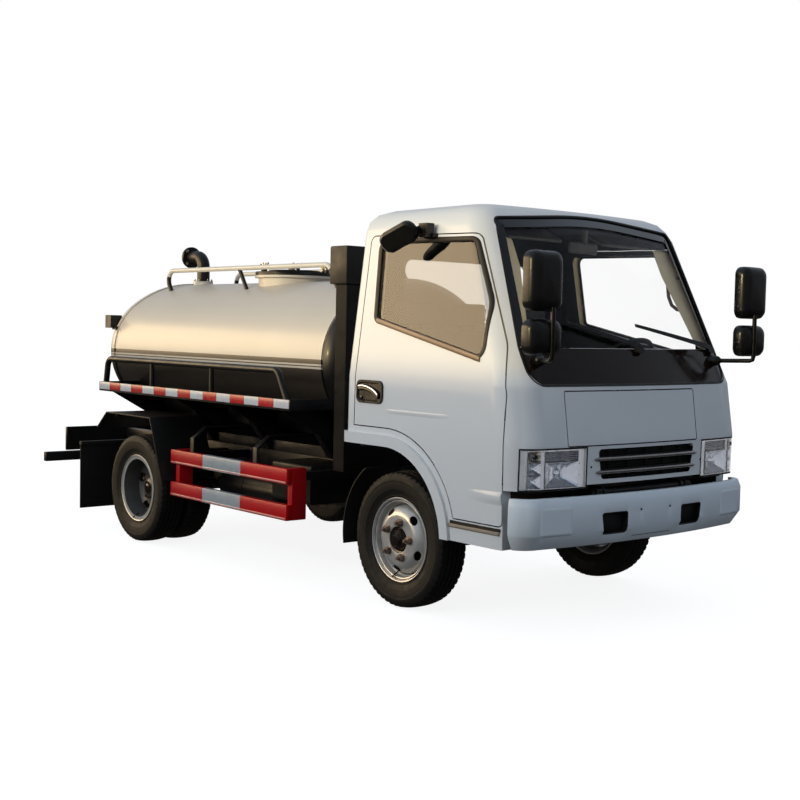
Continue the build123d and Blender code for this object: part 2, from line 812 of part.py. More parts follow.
def make_steering(parts):
    """Knuckles that turn on the kingpins, and the tie rod behind the axle."""
    x, z = front_axle_x, tyre_radius
    for side, name in ((-1, "right"), (1, "left")):
        y = side * kingpin_y
        knuckle = disc_z(x, y, z - 78, z + 78, kingpin_radius)
        for low, high in ((z - 78, z - 41), (z + 41, z + 78)):
            knuckle += disc_z(x, y, low, high, 38)
            y0, y1 = sorted((y, side * (kingpin_y + 60)))
            knuckle += box(x - 34, x + 34, y0, y1, low, high)
        y0, y1 = sorted((side * (kingpin_y + 44), side * (kingpin_y + 66)))
        knuckle += box(x - 40, x + 40, y0, y1, z - 78, z + 78)
        knuckle += disc_y(x, z, side * (kingpin_y + 60), side * (front_disc_y + 16), spindle_radius)
        arm_x = x - steer_arm_reach
        low = z - 76
        knuckle += box(arm_x, x - 10, y - 24, y + 24, low, low + 22)
        knuckle += disc_z(arm_x, y, low, low + 22, 24)
        knuckle += disc_z(arm_x, y, low - 36, low, 9)
        parts["knuckle_" + name] = knuckle
    arm_x = x - steer_arm_reach
    reach = kingpin_y
    height = z - 76 - 18.5
    tie = rod((arm_x, -reach, height), (arm_x, reach, height), 13)
    for side, bore in ((-1, 9 + bearing_gap), (1, 9 + 0.5)):
        tie += disc_z(arm_x, side * reach, height - 16, height + 16, 22)
        tie -= disc_z(arm_x, side * reach, height - 40, height + 40, bore)
    parts["tie_rod"] = tie


def tank_face(x, grow):
    """The oval section: flat arcs above and below, tight arcs at the sides."""
    a, b, r = tank_half_width + grow, tank_half_height + grow, tank_side_radius + grow
    # Centre of the side arc, and of the flat arc tangent to it
    side_c = a - r
    flat_r = ((b - r) ** 2 + side_c ** 2) / (2 * (b - r)) + r
    flat_c = b - flat_r
    touch_y = side_c * flat_r / (flat_r - r)
    touch_z = flat_c - flat_c * flat_r / (flat_r - r)
    zc = tank_centre_z
    right_top, left_top = (x, -touch_y, zc + touch_z), (x, touch_y, zc + touch_z)
    right_low, left_low = (x, -touch_y, zc - touch_z), (x, touch_y, zc - touch_z)
    return make_face([
        ThreePointArc(right_top, (x, 0, zc + b), left_top),
        ThreePointArc(left_top, (x, a, zc), left_low),
        ThreePointArc(left_low, (x, 0, zc - b), right_low),
        ThreePointArc(right_low, (x, -a, zc), right_top),
    ])


def tank_solid(grow, x_front, length):
    return extrude(tank_face(x_front, grow), amount=length, dir=(-1, 0, 0))


def tank_seam(x, grow):
    """A raised band where a head meets the barrel."""
    return tank_solid(seam_height + grow, x + seam_width / 2 + grow, seam_width + 2 * grow)


def tank_cutter():
    """The barrel and its seams with a thin gap, to fit what sits on them."""
    length = tank_straight + tank_front_head + tank_rear_head
    body = tank_solid(seat_gap, tank_front_x + tank_front_head, length)
    for x in (tank_front_x, tank_rear_x):
        body += tank_seam(x, seat_gap)
    return body


def pipe_end(pipe, face_x, z):
    """Bores a rearward pipe end and drills its flange."""
    pipe -= rod((face_x - 1, 0, z), (face_x + pipe_bore_depth, 0, z), pipe_bore_radius)
    for i in range(pipe_bolt_count):
        angle = 2 * pi * (i + 0.5) / pipe_bolt_count
        y, dz = pipe_bolt_circle * cos(angle), pipe_bolt_circle * sin(angle)
        pipe -= rod((face_x - 1, y, z + dz), (face_x + pipe_flange_thick + 1, y, z + dz), pipe_bolt_hole)
    return pipe


def make_tank(parts):
    body = tank_solid(0, tank_front_x + tank_front_head, tank_straight + tank_front_head + tank_rear_head)
    ends = body.faces().sort_by(Axis.X)
    body = fillet(ends[-1].edges(), tank_front_head)
    ends = body.faces().sort_by(Axis.X)
    body = fillet(ends[0].edges(), tank_rear_head)
    for x in (tank_front_x, tank_rear_x):
        body += tank_seam(x, 0) - tank_solid(-5, x + seam_width, 2 * seam_width)
    tank_top = tank_centre_z + tank_half_height
    body -= disc_z(manhole_x, 0, tank_top - manhole_depth, tank_top + 50, manhole_radius - manhole_wall)
    parts["tank_shell"] = body

    cutter = tank_cutter()
    neck = disc_z(manhole_x, 0, tank_top - 80, manhole_top, manhole_radius)
    neck += disc_z(manhole_x, 0, manhole_top - 16, manhole_top, manhole_radius + 26)
    neck -= cutter
    neck -= disc_z(manhole_x, 0, tank_top - 100, manhole_top + 5, manhole_radius - manhole_wall)
    hinge_x = manhole_x - manhole_radius - 60
    hinge_z = manhole_top + 14
    for side in (1, -1):
        y0, y1 = sorted((side * 44, side * 62))
        lug = box(hinge_x - 16, manhole_x - manhole_radius, y0, y1, manhole_top - 16, manhole_top)
        lug += box(hinge_x - 16, hinge_x + 16, y0, y1, manhole_top - 8, hinge_z)
        lug += disc_y(hinge_x, hinge_z, y0, y1, 16)
        neck += lug
    neck += disc_y(hinge_x, hinge_z, -62, 62, 8)
    parts["manhole_neck"] = neck

    lid = disc_z(manhole_x, 0, manhole_top + seat_gap, manhole_top + lid_thick, manhole_radius + 22)
    lid += disc_z(manhole_x, 0, manhole_top + lid_thick, manhole_top + lid_thick + 14, manhole_radius - 70)
    for i in range(6):
        angle = 2 * pi * (i + 0.5) / 6
        px, py = manhole_x + (manhole_radius - 4) * cos(angle), (manhole_radius - 4) * sin(angle)
        lid += disc_z(px, py, manhole_top + lid_thick, manhole_top + lid_thick + 40, 13)
    arm = box(hinge_x, manhole_x - manhole_radius + 60, -36, 36, manhole_top + 6, manhole_top + lid_thick - 2)
    arm += disc_y(hinge_x, hinge_z, -36, 36, 15)
    lid += arm
    lid -= disc_y(hinge_x, hinge_z, -100, 100, 8 + bearing_gap)
    parts["manhole_lid"] = lid

    # Bearers on the rails, with saddles that hold the tank
    saddles = None
    bearer_top = rail_top + 70
    for side in (1, -1):
        y0, y1 = sorted((side * (rail_outer_y - rail_flange), side * rail_outer_y))
        bearer = box(tank_rear_x + 60, tank_front_x - 60, y0, y1, rail_top, bearer_top)
        saddles = bearer if saddles is None else saddles + bearer
    for reach in (260, 960, 1660, 2320):
        x = tank_front_x - reach
        plate = front_prism([
            (-400, rail_top + 10), (400, rail_top + 10), (610, 960), (-610, 960)], [0] * 4, x - 30, x + 30)
        saddles += plate
    parts["tank_bearers"] = saddles - cutter

    elbow = tube_path([
        (vent_x, 0, tank_top - 10), (vent_x, 0, vent_z), (vent_flange_x, 0, vent_z)], 80, vent_radius)
    elbow += disc_z(vent_x, 0, tank_top - 40, tank_top + 24, 74)
    flange_end = (vent_flange_x - pipe_flange_thick, 0, vent_z)
    elbow += rod((vent_flange_x, 0, vent_z), flange_end, pipe_flange_radius)
    elbow = pipe_end(elbow, vent_flange_x - pipe_flange_thick, vent_z)
    elbow -= cutter
    end_x = tank_rear_x - tank_rear_head
    valve_profile = [
        (0, seat_gap), (100, seat_gap), (100, 26), (56, 26), (56, 90), (92, 90), (92, 120), (56, 120),
        (56, outlet_reach - pipe_flange_thick), (pipe_flange_radius, outlet_reach - pipe_flange_thick),
        (pipe_flange_radius, outlet_reach), (0, outlet_reach),
    ]
    valve_face = make_face(Polyline([(end_x - x, 0, outlet_z - r) for r, x in valve_profile], close=True))
    valve = revolve(valve_face, Axis((end_x, 0, outlet_z), (1, 0, 0)))
    valve += box(end_x - 117, end_x - 93, -12, 12, outlet_z + 60, outlet_z + 150)
    valve = pipe_end(valve, outlet_x, outlet_z)
    lamp_x, lamp_y, lamp_z = tank_rear_x - 30, -652, tank_centre_z + 218
    lamp = box(lamp_x - 80, lamp_x + 6, lamp_y - 46, lamp_y + 46, lamp_z - 48, lamp_z + 48)
    lamp += box(lamp_x - 20, lamp_x + 40, lamp_y - 20, lamp_y + 60, lamp_z - 60, lamp_z - 36)
    lamp -= tank_solid(seat_gap, tank_front_x, tank_straight + 400)
    for x in (tank_front_x, tank_rear_x):
        lamp -= tank_seam(x, seat_gap)
    parts["tank_fittings"] = Compound(children=[elbow, valve, lamp.solids().sort_by(SortBy.VOLUME)[-1]])


def make_tank_sides(parts):
    cutter = tank_cutter()
    tray = box(tray_rear_x, tray_front_x, -tray_outer_y, -500, tray_floor_z, tray_floor_z + tray_wall)
    tray += box(tray_rear_x, tray_front_x, -tray_outer_y, -tray_outer_y + tray_wall, tray_floor_z, tray_top_z)
    for x in (tray_rear_x, tray_front_x - tray_wall):
        tray += box(x, x + tray_wall, -tray_outer_y, -500, tray_floor_z, tray_top_z)
    for share in (0.06, 0.43, 0.68, 0.94):
        x = tray_rear_x + share * (tray_front_x - tray_rear_x)
        tray += front_prism([
            (-tray_outer_y + 30, tray_floor_z), (-500, tray_floor_z), (-500, 800), (-560, 800),
        ], [0] * 4, x - 5, x + 5)
    tray -= cutter
    tray = tray.solids().sort_by(SortBy.VOLUME)[-1]
    parts["hose_trays"] = both_sides(tray)

    y = -tray_outer_y + tray_wall + tray_rail_radius + 2
    base = tray_floor_z + tray_wall + seat_gap
    rail = tube_path([
        (tray_rear_x + 40, y, base), (tray_rear_x + 80, y, tray_rail_z), (tray_front_x - 170, y, tray_rail_z),
        (tray_front_x - 40, y, base),
    ], 60, tray_rail_radius)
    for share in (0.3, 0.62):
        x = tray_rear_x + share * (tray_front_x - tray_rear_x)
        rail += disc_z(x, y, base, tray_rail_z, 15)
    rail -= box(tray_rear_x - 100, tray_front_x + 100, y - 100, y + 100, 0, base)
    parts["tray_rails"] = both_sides(rail)

    y = -top_rail_y
    foot = tank_centre_z + tank_half_height - 90
    x0, x1 = front_axle_x - 3460, front_axle_x - 1378
    lean = top_rail_lean
    top = tube_path([
        (x0 + lean, y, foot), (x0, y, top_rail_z), (x1, y, top_rail_z), (x1 + lean, y, foot),
    ], 70, top_rail_radius)
    middle_x = front_axle_x - 2424
    top += rod((middle_x, y, top_rail_z), (middle_x + lean, y, foot), 14)
    top -= cutter
    parts["top_rails"] = both_sides(top.solids().sort_by(SortBy.VOLUME)[-1])


def make_side_guards(parts):
    rails = []
    posts = []
    y_out = -guard_outer_y
    for low, high in guard_bands:
        rails.append(box(guard_rear_x, guard_front_x, y_out, y_out + guard_depth, low, high))
    low, high = guard_bands[0][0], guard_bands[1][1]
    inner = y_out + guard_depth + seat_gap
    for x0, x1 in ((guard_front_x - 46, guard_front_x), (guard_rear_x, guard_rear_x + 46)):
        post = box(x0, x1, inner, inner + 100, low, high)
        post += box(x0, x1, inner, -rail_outer_y - seat_gap, 590, 640)
        posts.append(post)
    for reach in (1985, 1252):
        x = front_axle_x - reach
        foot_y, top_y, leg_y = inner + 8, inner + 100, -rail_outer_y - seat_gap
        bracket = box(x - 22, x + 22, inner, foot_y, guard_bands[1][0], 752)
        bracket += front_prism([
            (inner, 740), (foot_y, 740), (top_y, 815), (leg_y, 815),
            (leg_y, 823), (top_y - 4, 823), (inner, 752),
        ], [0] * 7, x - 22, x + 22)
        bracket += box(x - 22, x + 22, leg_y - 8, leg_y, rail_top + 8, 823)
        posts.append(bracket)
    parts["guard_rails"] = Compound(children=[s for rail in rails for s in (rail, mirrored(rail))])
    parts["guard_posts"] = Compound(children=[s for post in posts for s in (post, mirrored(post))])


def make_rear_end(parts):
    x = rear_axle_x
    t = fender_thick
    edge = [(x + 372, 450), (x + 205, 852), (x - 405, 852), (x - 545, 735)]
    upper = [(x + 372 + t, 455), (x + 210, 852 + t), (x - 410, 852 + t), (x - 545 - t, 742)]
    fender = side_prism(edge + upper[::-1], [0] * 8, -fender_outer_y, -fender_inner_y)
    for stay in (150, -330):
        x0, x1 = x + stay - 18, x + stay + 18
        fender += box(x0, x1, -fender_outer_y + 40, -stay_y, 830, 853)
        fender += box(x0, x1, -stay_y - 30, -stay_y, 590, 853)
        fender += box(x0, x1, -stay_y - 30, -rail_outer_y - seat_gap, 590, 626)
    parts["rear_fenders"] = both_sides(fender)

    flap = box(flap_x - 6, flap_x + 6, -flap_outer_y, -fender_inner_y, flap_bottom, 600)
    flap += box(flap_x - 18, flap_x + 18, -flap_outer_y, -rail_outer_y - seat_gap, 585, 612)
    guard = mudguard_strip(-1)
    parts["mud_flaps"] = Compound(children=[s for part in (flap, guard) for s in (part, mirrored(part))])

    board = box(lamp_board_x - lamp_board_thick / 2, rail_rear_x - seat_gap, -880, 880, 505, 683)
    bar = box(rear_end_x, rear_end_x + rear_bar_thick, -rear_bar_half, rear_bar_half, 405, 476)
    for side in (1, -1):
        y0, y1 = sorted((side * 322, side * 372))
        bar += side_prism([
            (rear_end_x + rear_bar_thick - 4, 412), (rail_rear_x + 160, 470),
            (rail_rear_x + 160, rail_bottom - seat_gap), (rail_rear_x + 20, rail_bottom - seat_gap),
            (rear_end_x + rear_bar_thick - 4, 470),
        ], [0] * 5, y0, y1)
    parts["rear_bars"] = Compound(children=[board, bar])
    lamps = []
    for side in (1, -1):
        y0, y1 = sorted((side * 560, side * 840))
        face_x = lamp_board_x - lamp_board_thick / 2 - seat_gap
        lamps.append(box(face_x - 40, face_x, y0, y1, 545, 645))
    parts["tail_lamps"] = Compound(children=lamps)


def mudguard_strip(side):
    """The curved guard behind a front wheel, hung from the rail."""
    inner_r, outer_r = 432, 440
    x, z = front_axle_x, tyre_radius
    start, middle, end = 124, 158, 190

    def at(radius, angle):
        return (x + radius * cos(radians(angle)), 0, z + radius * sin(radians(angle)))
    face = make_face([
        ThreePointArc(at(inner_r, start), at(inner_r, middle), at(inner_r, end)),
        ThreePointArc(at(outer_r, start), at(outer_r, middle), at(outer_r, end)),
        Line(at(inner_r, start), at(outer_r, start)), Line(at(inner_r, end), at(outer_r, end)),
    ])
    strip = Pos(0, side * 872, 0) * extrude(face, amount=262, dir=(0, -side, 0))
    bar_x = x + 437 * cos(radians(158))
    bar_z = z + 437 * sin(radians(158))
    y0, y1 = sorted((side * (rail_outer_y + seat_gap), side * 640))
    strip += box(bar_x - 20, bar_x + 8, y0, y1, bar_z - 12, bar_z + 12)
    return strip


def make_chassis_boxes(parts):
    """Fuel tank on the left, battery box on the right, silencer and the raised air intake."""
    y0 = rail_outer_y + seat_gap
    x0, x1 = front_axle_x - 1780, front_axle_x - 980
    fuel = front_prism([(y0, 400), (y0 + 380, 400), (y0 + 380, 655), (y0, 655)], [0, 60, 60, 0], x0, x1)
    parts["fuel_tank"] = fuel
    parts["battery_box"] = front_prism(
        [(-y0, 420), (-y0 - 330, 420), (-y0 - 330, 655), (-y0, 655)], [0, 20, 20, 0], x0 + 400, x1)
    pipe_y = -200
    silencer = rod((front_axle_x - 1200, pipe_y, 420), (front_axle_x - 2100, pipe_y, 420), 84)
    silencer += rod((front_axle_x - 790, pipe_y, 430), (front_axle_x - 1200, pipe_y, 420), 30)
    for x in (front_axle_x - 1250, front_axle_x - 2050):
        silencer += box(x - 15, x + 15, pipe_y - 20, pipe_y + 20, 430, crossmember_bottom - seat_gap)
    parts["silencer"] = silencer
    mast_x, mast_y = front_axle_x - 640, -700
    intake = box(mast_x - 85, mast_x + 72, mast_y - 80, mast_y + 80, 1730, 1947)
    intake += box(mast_x - 50, mast_x + 50, mast_y - 60, mast_y + 60, 800, 1740)
    intake += box(mast_x - 50, mast_x + 50, mast_y - 60, -rail_outer_y + 30, rail_top, rail_top + 150)
    intake += box(mast_x - 50, mast_x + 50, mast_y - 60, mast_y + 60, rail_top, 810)
    parts["air_intake"] = intake


def mirror_housing(z0, z1):
    """A rounded case that opens to the rear."""
    x, y = front_axle_x + mirror_reach, -mirror_y
    depth, half = mirror_depth, mirror_width / 2
    case = plan_prism([
        (x - depth, y - half), (x - 26, y - half), (x, y - half + 50), (x, y + half - 50),
        (x - 26, y + half), (x - depth, y + half),
    ], [10, 30, 30, 30, 30, 10], z0, z1)
    levels = case.edges().group_by(Axis.Z)
    return chamfer(levels[0] + levels[-1], 8)


def make_mirrors(parts):
    stem_x, stem_y = front_axle_x + mirror_reach - 4, -mirror_y + 22
    foot = (front_axle_x + 840, -690, 1345)
    right = mirror_housing(1580, 1864) + mirror_housing(1374, 1544)
    right += disc_z(stem_x, stem_y, 1340, 1640, 12)
    right += rod(foot, (stem_x, stem_y, 1352), 14)
    right += rod(foot, (foot[0] + 60, foot[1] - 24, 1347), 30)
    right -= cab_form(6 - seat_gap)
    parts["mirrors"] = both_sides(right.solids().sort_by(SortBy.VOLUME)[-1])


WIPERS = [
    # tip across, tip height, foot across
    (-436, 1536, 50),
    (60, 1528, 720),
]


def make_wipers(parts):
    """Blades parked low, each with its tip to the right and its foot on the dark cowl."""
    blades = []
    strip = cab_layer(-16, -6)
    x0 = front_axle_x + 500
    for tip_y, tip_z, foot_y in WIPERS:
        low = glass_bottom + 10
        blade = front_prism([
            (tip_y, tip_z - 8), (foot_y, low - 14), (foot_y, low + 14), (tip_y, tip_z + 8)], [0] * 4, x0, far)
        foot = cab_layer(-16, 5.7) & front_prism([
            (foot_y - 44, low + 6), (foot_y + 10, low + 6), (foot_y + 10, low - 30), (foot_y - 44, low - 30),
        ], [8] * 4, x0, far)
        blades.append((strip & blade) + foot)
    parts["wipers"] = Compound(children=blades)


def make_kerb_mirror():
    """A dish on the right door's top frame that looks down at the kerb."""
    x = front_axle_x
    pad = side_prism([
        (x + 118, 1954), (x + 208, 1954), (x + 208, 1980), (x + 118, 1980),
    ], [6] * 4, -1000, -560)
    mirror_body = pad & cab_layer(-30, -seat_gap)
    mirror_body += box(x + 130, x + 196, -852, -802, 1958, 2030)
    mirror_body += rod((x + 150, -838, 2010), (x + 60, -900, 1975), 15)
    along = Vector(0.85, 0.17, 0.36).normalized()
    facing = Vector(0.1, -0.8, -0.5)
    facing = (facing - along * facing.dot(along)).normalized()
    plane = Plane(origin=(x + 46, -912, 1960), x_dir=along, z_dir=facing)
    dish = extrude(plane * RectangleRounded(236, 116, 52), amount=22, both=True)
    dish = chamfer(dish.faces().sort_by(Axis.Y)[-1].edges(), 14)
    return mirror_body + dish


def build():
    parts = {}
    make_frame(parts)
    make_running_gear(parts)
    make_steering(parts)
    make_wheels(parts)
    make_tank(parts)
    make_tank_sides(parts)
    make_side_guards(parts)
    make_rear_end(parts)
    make_chassis_boxes(parts)
    parts["front_bumper"] = make_bumper()
    make_cab(parts)
    make_cab_inside(parts)
    make_mirrors(parts)
    make_wipers(parts)
    parts["kerb_mirror"] = make_kerb_mirror()
    return parts


os.makedirs("parts", exist_ok=True)
for name, shape in build().items():
    export_step(shape, os.path.join("parts", name + ".step"))
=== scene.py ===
"""Looks of the small suction tanker truck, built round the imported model."""

import math

import bmesh
import bpy
from mathutils import Matrix, Vector


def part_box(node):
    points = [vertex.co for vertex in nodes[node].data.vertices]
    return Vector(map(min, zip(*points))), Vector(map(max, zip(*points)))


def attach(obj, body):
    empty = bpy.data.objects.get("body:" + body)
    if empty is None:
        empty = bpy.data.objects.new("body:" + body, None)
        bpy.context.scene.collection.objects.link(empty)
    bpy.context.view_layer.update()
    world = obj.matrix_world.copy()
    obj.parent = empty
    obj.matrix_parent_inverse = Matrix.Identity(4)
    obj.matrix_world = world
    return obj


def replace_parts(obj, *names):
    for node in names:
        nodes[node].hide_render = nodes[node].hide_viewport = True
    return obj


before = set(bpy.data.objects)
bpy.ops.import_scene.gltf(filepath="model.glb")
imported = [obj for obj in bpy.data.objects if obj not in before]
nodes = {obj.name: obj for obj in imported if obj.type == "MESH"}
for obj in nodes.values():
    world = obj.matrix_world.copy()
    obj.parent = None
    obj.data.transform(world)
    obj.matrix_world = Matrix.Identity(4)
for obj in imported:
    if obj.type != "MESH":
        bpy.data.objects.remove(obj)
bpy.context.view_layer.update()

# Main places in metres, as in the part's source
FRONT_X = 1.545
REAR_X = -1.055
WHEEL_Z = 0.365
TYRE_R = 0.365
FRONT_WHEEL_Y = 0.756
REAR_OUTER_Y = 0.905
REAR_INNER_Y = 0.689
FRONT_FACE_Y = 0.838
REAR_DISC_Y = 0.843
SIDES = ((-1, "right"), (1, "left"))


# Materials
def new_material(name):
    material = bpy.data.materials.new(name)
    material.use_nodes = True
    tree = material.node_tree
    return material, tree, tree.nodes["Principled BSDF"]


def node(tree, kind, **values):
    n = tree.nodes.new(kind)
    for key, value in values.items():
        setattr(n, key, value)
    return n


def noise(tree, scale, detail=4.0, rough=0.6, stretch=(1, 1, 1)):
    coords = node(tree, "ShaderNodeTexCoord")
    mapping = node(tree, "ShaderNodeMapping")
    mapping.inputs["Scale"].default_value = stretch
    tree.links.new(coords.outputs["Object"], mapping.inputs["Vector"])
    texture = node(tree, "ShaderNodeTexNoise")
    texture.inputs["Scale"].default_value = scale
    texture.inputs["Detail"].default_value = detail
    texture.inputs["Roughness"].default_value = rough
    tree.links.new(mapping.outputs["Vector"], texture.inputs["Vector"])
    return texture.outputs["Fac"]


def ranged(tree, value, low, high, to_low=0.0, to_high=1.0):
    n = node(tree, "ShaderNodeMapRange")
    n.inputs["From Min"].default_value = low
    n.inputs["From Max"].default_value = high
    n.inputs["To Min"].default_value = to_low
    n.inputs["To Max"].default_value = to_high
    tree.links.new(value, n.inputs["Value"])
    return n.outputs["Result"]


def math_node(tree, operation, a, b):
    n = node(tree, "ShaderNodeMath", operation=operation)
    for socket, value in zip(n.inputs, (a, b)):
        if isinstance(value, (int, float)):
            socket.default_value = value
        else:
            tree.links.new(value, socket)
    return n.outputs[0]


def mixed(tree, factor, a, b):
    n = node(tree, "ShaderNodeMix", data_type="RGBA")
    sockets = [s for s in n.inputs if s.enabled]
    for socket, value in zip(sockets, (factor, a, b)):
        if isinstance(value, tuple):
            socket.default_value = value + (1.0,)
        else:
            tree.links.new(value, socket)
    return [s for s in n.outputs if s.enabled][0]


def place(tree):
    coords = node(tree, "ShaderNodeTexCoord")
    split = node(tree, "ShaderNodeSeparateXYZ")
    tree.links.new(coords.outputs["Object"], split.inputs["Vector"])
    return split.outputs


def add_bump(tree, bsdf, height, strength, distance=0.001):
    n = node(tree, "ShaderNodeBump")
    n.inputs["Strength"].default_value = strength
    n.inputs["Distance"].default_value = distance
    tree.links.new(height, n.inputs["Height"])
    tree.links.new(n.outputs["Normal"], bsdf.inputs["Normal"])


def between(tree, value, low, high):
    return math_node(tree, "MULTIPLY", math_node(tree, "LESS_THAN", value, high),
                     math_node(tree, "GREATER_THAN", value, low))


def finish_material(tree, bsdf, color, rough, rough_spread, rough_scale, bump, bump_scale,
                    metal=0.0, coat=0.0, coat_rough=0.06, specular=0.5):
    if isinstance(color, tuple):
        bsdf.inputs["Base Color"].default_value = color + (1.0,)
    else:
        tree.links.new(color, bsdf.inputs["Base Color"])
    bsdf.inputs["Metallic"].default_value = metal
    bsdf.inputs["Coat Weight"].default_value = coat
    bsdf.inputs["Coat Roughness"].default_value = coat_rough
    bsdf.inputs["Specular IOR Level"].default_value = specular
    if rough_spread:
        field = noise(tree, rough_scale, 3.0)
        spread = ranged(tree, field, 0.3, 0.7, rough - rough_spread, rough + rough_spread)
        tree.links.new(spread, bsdf.inputs["Roughness"])
    else:
        bsdf.inputs["Roughness"].default_value = rough
    if bump:
        add_bump(tree, bsdf, noise(tree, bump_scale, 5.0), bump, 0.0005)


def dusty(tree, base, dust, low_z, high_z, amount, scale=6.0):
    """The base colour with dust that gathers towards the ground."""
    xyz = place(tree)
    height = ranged(tree, xyz[2], low_z, high_z, 1.0, 0.0)
    cloud = ranged(tree, noise(tree, scale, 6.0), 0.42, 0.72)
    factor = math_node(tree, "MULTIPLY", math_node(tree, "MULTIPLY", height, cloud), amount)
    return mixed(tree, factor, base, dust)


def paint_white(name, base):
    material, tree, bsdf = new_material(name)
    cloud = ranged(tree, noise(tree, 2.5, 5.0), 0.35, 0.7)
    tone = mixed(tree, cloud, base, tuple(c * 0.985 for c in base))
    xyz = place(tree)
    streak = ranged(tree, noise(tree, 9.0, 6.0, 0.65, (1.0, 1.0, 0.22)), 0.55, 0.8)
    low = ranged(tree, xyz[2], 0.42, 1.0, 1.0, 0.12)
    factor = math_node(tree, "MULTIPLY", math_node(tree, "MULTIPLY", streak, low), 0.025)
    tone = mixed(tree, factor, tone, (0.36, 0.34, 0.31))
    finish_material(tree, bsdf, tone, 0.36, 0.012, 14.0, 0.02, 900.0,
                    coat=0.22, coat_rough=0.08, specular=0.35)
    return material


def paint_dark(name, base, rough, bump, dust=0.0, low=0.2, high=1.1, coat=0.0, specular=0.5):
    material, tree, bsdf = new_material(name)
    tone = base
    if dust:
        tone = dusty(tree, base, (0.10, 0.088, 0.075), low, high, dust, 9.0)
    finish_material(tree, bsdf, tone, rough, 0.1, 12.0, bump, 260.0, coat=coat, specular=specular)
    return material


STRIPE_Z = (1.263, 1.292)
LINE_Z = (1.246, 1.253)
DARK_BELOW_Z = 1.234
TANK_HEAD_X = FRONT_X - 0.916
GUARD_PALE_X = (FRONT_X - 1.786, FRONT_X - 1.350)


def tank_paint():
    """Champagne gloss above, dark and pale lines below it, black underneath."""
    material, tree, bsdf = new_material("tank_paint")
    xyz = place(tree)
    cloud = ranged(tree, noise(tree, 1.6, 4.0), 0.3, 0.75)
    cream = mixed(tree, cloud, (0.66, 0.60, 0.52), (0.62, 0.56, 0.48))
    dark = (0.010, 0.009, 0.009)
    stripe = between(tree, xyz[2], *STRIPE_Z)
    line = between(tree, xyz[2], *LINE_Z)
    under = math_node(tree, "MAXIMUM", line, math_node(tree, "LESS_THAN", xyz[2], DARK_BELOW_Z))
    head = math_node(tree, "GREATER_THAN", xyz[0], TANK_HEAD_X)
    factor = math_node(tree, "MAXIMUM", math_node(tree, "MAXIMUM", stripe, under), head)
    tone = mixed(tree, factor, cream, dark)
    finish_material(tree, bsdf, tone, 0.4, 0.03, 8.0, 0.006, 500.0, coat=0.16, coat_rough=0.16)
    return material


def guard_paint():
    """Red guard with a pale grey middle third."""
    material, tree, bsdf = new_material("guard_paint")
    xyz = place(tree)
    middle = between(tree, xyz[0], *GUARD_PALE_X)
    cloud = ranged(tree, noise(tree, 14.0, 6.0), 0.4, 0.75)
    red = mixed(tree, cloud, (0.62, 0.006, 0.012), (0.52, 0.006, 0.012))
    pale = mixed(tree, cloud, (0.42, 0.46, 0.48), (0.34, 0.37, 0.38))
    tone = mixed(tree, middle, red, pale)
    finish_material(tree, bsdf, tone, 0.38, 0.05, 16.0, 0.05, 240.0, coat=0.08, specular=0.3)
    return material


def rubber(name, base, rough, bump, scale):
    material, tree, bsdf = new_material(name)
    tone = dusty(tree, base, (0.07, 0.058, 0.048), 0.0, 0.9, 0.12, 11.0)
    finish_material(tree, bsdf, tone, rough, 0.08, 25.0, bump, scale, specular=0.3)
    return material


def metal(name, base, rough, spread=0.08, metallic=1.0, bump=0.06, scale=320.0, coat=0.0):
    material, tree, bsdf = new_material(name)
    cloud = ranged(tree, noise(tree, 18.0, 6.0), 0.35, 0.75)
    tone = mixed(tree, cloud, base, tuple(c * 0.82 for c in base))
    finish_material(tree, bsdf, tone, rough, spread, 30.0, bump, scale, metal=metallic, coat=coat)
    return material


def clear(name, tint, rough, ior):
    material, tree, bsdf = new_material(name)
    bsdf.inputs["Base Color"].default_value = tint + (1.0,)
    bsdf.inputs["Transmission Weight"].default_value = 1.0
    bsdf.inputs["IOR"].default_value = ior
    smear = ranged(tree, noise(tree, 5.0, 6.0), 0.5, 0.85, rough, rough + 0.05)
    tree.links.new(smear, bsdf.inputs["Roughness"])
    return material


def tape(name, base):
    """Reflective sheeting with a fine honeycomb."""
    material, tree, bsdf = new_material(name)
    coords = node(tree, "ShaderNodeTexCoord")
    cells = node(tree, "ShaderNodeTexVoronoi", feature="DISTANCE_TO_EDGE")
    cells.inputs["Scale"].default_value = 240.0
    tree.links.new(coords.outputs["Object"], cells.inputs["Vector"])
    web = ranged(tree, cells.outputs["Distance"], 0.02, 0.09)
    cloud = ranged(tree, noise(tree, 20.0, 6.0), 0.45, 0.8)
    tone = mixed(tree, web, tuple(c * 0.8 for c in base), base)
    tone = mixed(tree, math_node(tree, "MULTIPLY", cloud, 0.15), tone, (0.25, 0.22, 0.2))
    finish_material(tree, bsdf, tone, 0.32, 0.06, 30.0, 0.0, 100.0, coat=0.12)
    return material


